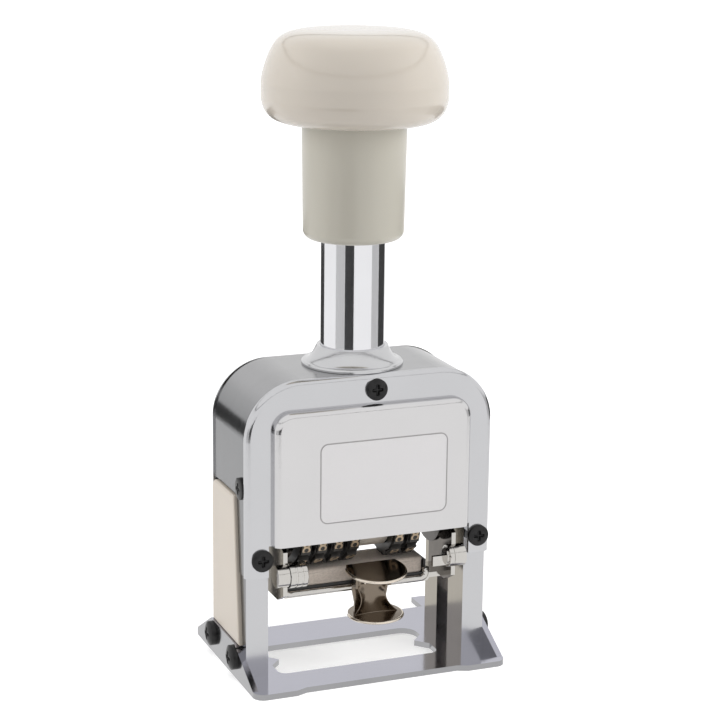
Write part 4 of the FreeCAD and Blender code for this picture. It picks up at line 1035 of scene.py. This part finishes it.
def make_floor():
    """A white floor that bends up into a white wall. The eye sees it a little brighter than the light alone
    makes it, the more so far off, and with the object's shadow; metal and glass see it plain white."""
    near, bend, curve, wall_top, half_width = -1.6, 1.2, 0.6, 2.4, 2.2
    turn = np.linspace(0, math.pi / 2, 40)[1:]
    depth = np.concatenate([np.linspace(near, bend, 30), bend + curve * np.sin(turn), [bend + curve]])
    height = np.concatenate([np.zeros(30), curve - curve * np.cos(turn), [wall_top]])
    side = np.linspace(-half_width, half_width, 12)
    floor = surface("floor", together(side, depth[:, None], height[:, None]), closed=False)
    material, shader, place = new_material("floor_white")
    tree = material.node_tree
    away = add(tree, "ShaderNodeVectorMath", {0: place}, operation="LENGTH").outputs["Value"]
    lift_start, lift_end, near_lift, far_lift = 0.5, 1.2, 0.5, 0.8
    lift = remap(ramp(away, lift_start, lift_end), near_lift, far_lift)
    path = add(tree, "ShaderNodeLightPath").outputs
    fill(shader, {"Base Color": (0.8, 0.8, 0.8, 1), "Roughness": 0.9, "Emission Color": WHITE,
                  "Emission Strength": worked("MULTIPLY", path["Is Camera Ray"], lift)})
    by_metal = worked("MAXIMUM", path["Is Glossy Ray"], path["Is Transmission Ray"])
    glow = add(tree, "ShaderNodeEmission").outputs[0]
    mirrored = add(tree, "ShaderNodeMixShader", {0: by_metal, 1: shader.outputs[0], 2: glow}).outputs[0]
    fill(tree.nodes["Material Output"], {"Surface": mirrored})
    floor.data.materials.append(material)


def around_stem(stage, bearing, distance):
    """Points at bearings, in degrees to the left of the way from the stem to the camera."""
    angle = np.radians(bearing)
    to_camera = np.array([-math.sin(stage.yaw), -math.cos(stage.yaw)])
    to_left = np.array([-math.cos(stage.yaw), math.sin(stage.yaw)])
    place = distance * (np.cos(angle)[..., None] * to_camera + np.sin(angle)[..., None] * to_left)
    return place + np.array([0.0, STEM_Y])


def make_screens(stage):
    """Dark and grey screens round the stem, as in a studio: only metal and gloss see them. Each is a part of
    a cylinder or cone between two bearings, from a lower to an upper distance and height."""
    dark, grey, foot, top = 0.05, 0.6, (0.3, 0.0), (0.3, 0.08)
    for name, first, last, tone, low, high in (
            ("screen_front", 28, -4, dark, foot, top),
            ("screen_left", 62, 29, grey, foot, top),
            ("screen_right", -70, -102, grey, foot, top),
            ("screen_back_left", 165, 122, dark, foot, (0.3, 0.062)),
            ("screen_back_right", -103, -150, dark, foot, top),
            ("screen_over", 0, 360, dark, (0.60, 0.42), (0.59, 0.45))):
        bearing = np.linspace(first, last, 48)
        rows = [together(*around_stem(stage, bearing, distance).T, height)
                for distance, height in (low, high)]
        screen = surface(name, np.stack(rows), closed=False)
        material, shader, _ = new_material(name)
        fill(shader, {"Base Color": (tone, tone, tone, 1), "Roughness": 1.0})
        screen.data.materials.append(material)
        for rays in ("camera", "diffuse", "shadow", "transmission"):
            setattr(screen, f"visible_{rays}", False)


def make_lamps(stage):
    """Two large soft lamps at the sides and a weaker one above; metal sees the white room, not the lamps."""
    bearings, distance, aim_height = (86.0, -82.0), 0.95, 0.08
    left, right = around_stem(stage, bearings, distance)
    for name, place, size, power in (
            ("left_lamp", (*left, 0.5), 0.7, stage.lamp_power * 0.85),
            ("right_lamp", (*right, 0.45), 0.7, stage.lamp_power * 1.1),
            ("top_lamp", (0.0, 0.05, 1.1), 0.8, stage.lamp_power * 0.7)):
        lamp = bpy.data.lights.new(name, "AREA")
        lamp.shape = "SQUARE"
        lamp.size = size
        lamp.energy = power
        thing = linked(name, lamp)
        thing.location = place
        aim = Vector((0.0, STEM_Y, aim_height)) - thing.location
        thing.rotation_euler = aim.to_track_quat("-Z", "Y").to_euler()
        thing.visible_glossy = False


def make_world(stage):
    """A plain white room: full white to eyes, metal and glass, and the surround's strength as light."""
    world = bpy.data.worlds.new("studio")
    world.use_nodes = True
    tree = world.node_tree
    path = add(tree, "ShaderNodeLightPath").outputs
    seen = worked("MAXIMUM", path["Is Camera Ray"], path["Is Glossy Ray"])
    seen = worked("MAXIMUM", seen, path["Is Transmission Ray"])
    fill(tree.nodes["Background"], {"Color": WHITE, "Strength": remap(seen, stage.surround, 1.0)})
    bpy.context.scene.world = world


def make_camera(stage):
    """The photograph's viewpoint, from its yaw, pitch, roll and distance about a target."""
    target = Vector(at(2.31, 0.0, 83.77))
    back = Vector((-math.sin(stage.yaw) * math.cos(stage.pitch), -math.cos(stage.yaw) * math.cos(stage.pitch),
                   math.sin(stage.pitch)))
    level = (-back).cross(Vector((0, 0, 1))).normalized()
    over = level.cross(-back)
    right = math.cos(stage.roll) * level + math.sin(stage.roll) * over
    up = -math.sin(stage.roll) * level + math.cos(stage.roll) * over
    lens = bpy.data.cameras.new("photo_camera")
    lens.sensor_width = 36.0
    lens.lens = 104.37
    lens.clip_start = 0.01
    camera = linked("photo_camera", lens)
    place = target + stage.distance * back
    camera.matrix_world = Matrix([(*row, 0) for row in (right, up, back)] + [(*place, 1)]).transposed()
    bpy.context.scene.camera = camera
    bpy.context.scene.view_settings.view_transform = "Standard"


OPERATORS = (StageOperator, CarriedFinishOperator, HandleOperator, StemOperator, ScrewOperator, LabelOperator,
             FigureOperator, PadOperator, TabOperator, BossOperator)
GROUPS = (("nm_handle", HandleSizes), ("nm_pads", PadSizes), ("nm_colours", FinishColours),
          ("nm_stage", StageSettings))


class MachinePanel(bpy.types.Panel):
    """The buttons that make the numbering machine's pieces."""

    bl_idname = "NM_PT_pieces"
    bl_label = "Numbering machine"
    bl_space_type = "VIEW_3D"
    bl_region_type = "UI"
    bl_category = "Numbering Machine"

    def draw(self, context):
        for group, _ in GROUPS:
            box = self.layout.box()
            settings = getattr(context.scene, group)
            for name in settings.bl_rna.properties.keys():
                if name not in ("rna_type", "name"):
                    box.prop(settings, name)
        for kind in OPERATORS:
            self.layout.operator(kind.bl_idname)


def register():
    """Make the sizes, the operators and the panel known to Blender."""
    for name, kind in GROUPS:
        bpy.utils.register_class(kind)
        setattr(bpy.types.Scene, name, bpy.props.PointerProperty(type=kind))
    for kind in (*OPERATORS, MachinePanel):
        bpy.utils.register_class(kind)


def unregister():
    """Take them away again, the last one first."""
    for kind in reversed((*OPERATORS, MachinePanel)):
        bpy.utils.unregister_class(kind)
    for name, kind in reversed(GROUPS):
        delattr(bpy.types.Scene, name)
        bpy.utils.unregister_class(kind)


def main():
    register()
    for kind in OPERATORS:
        category, name = kind.bl_idname.split(".")
        getattr(getattr(bpy.ops, category), name)()


if __name__ == "__main__":
    main()
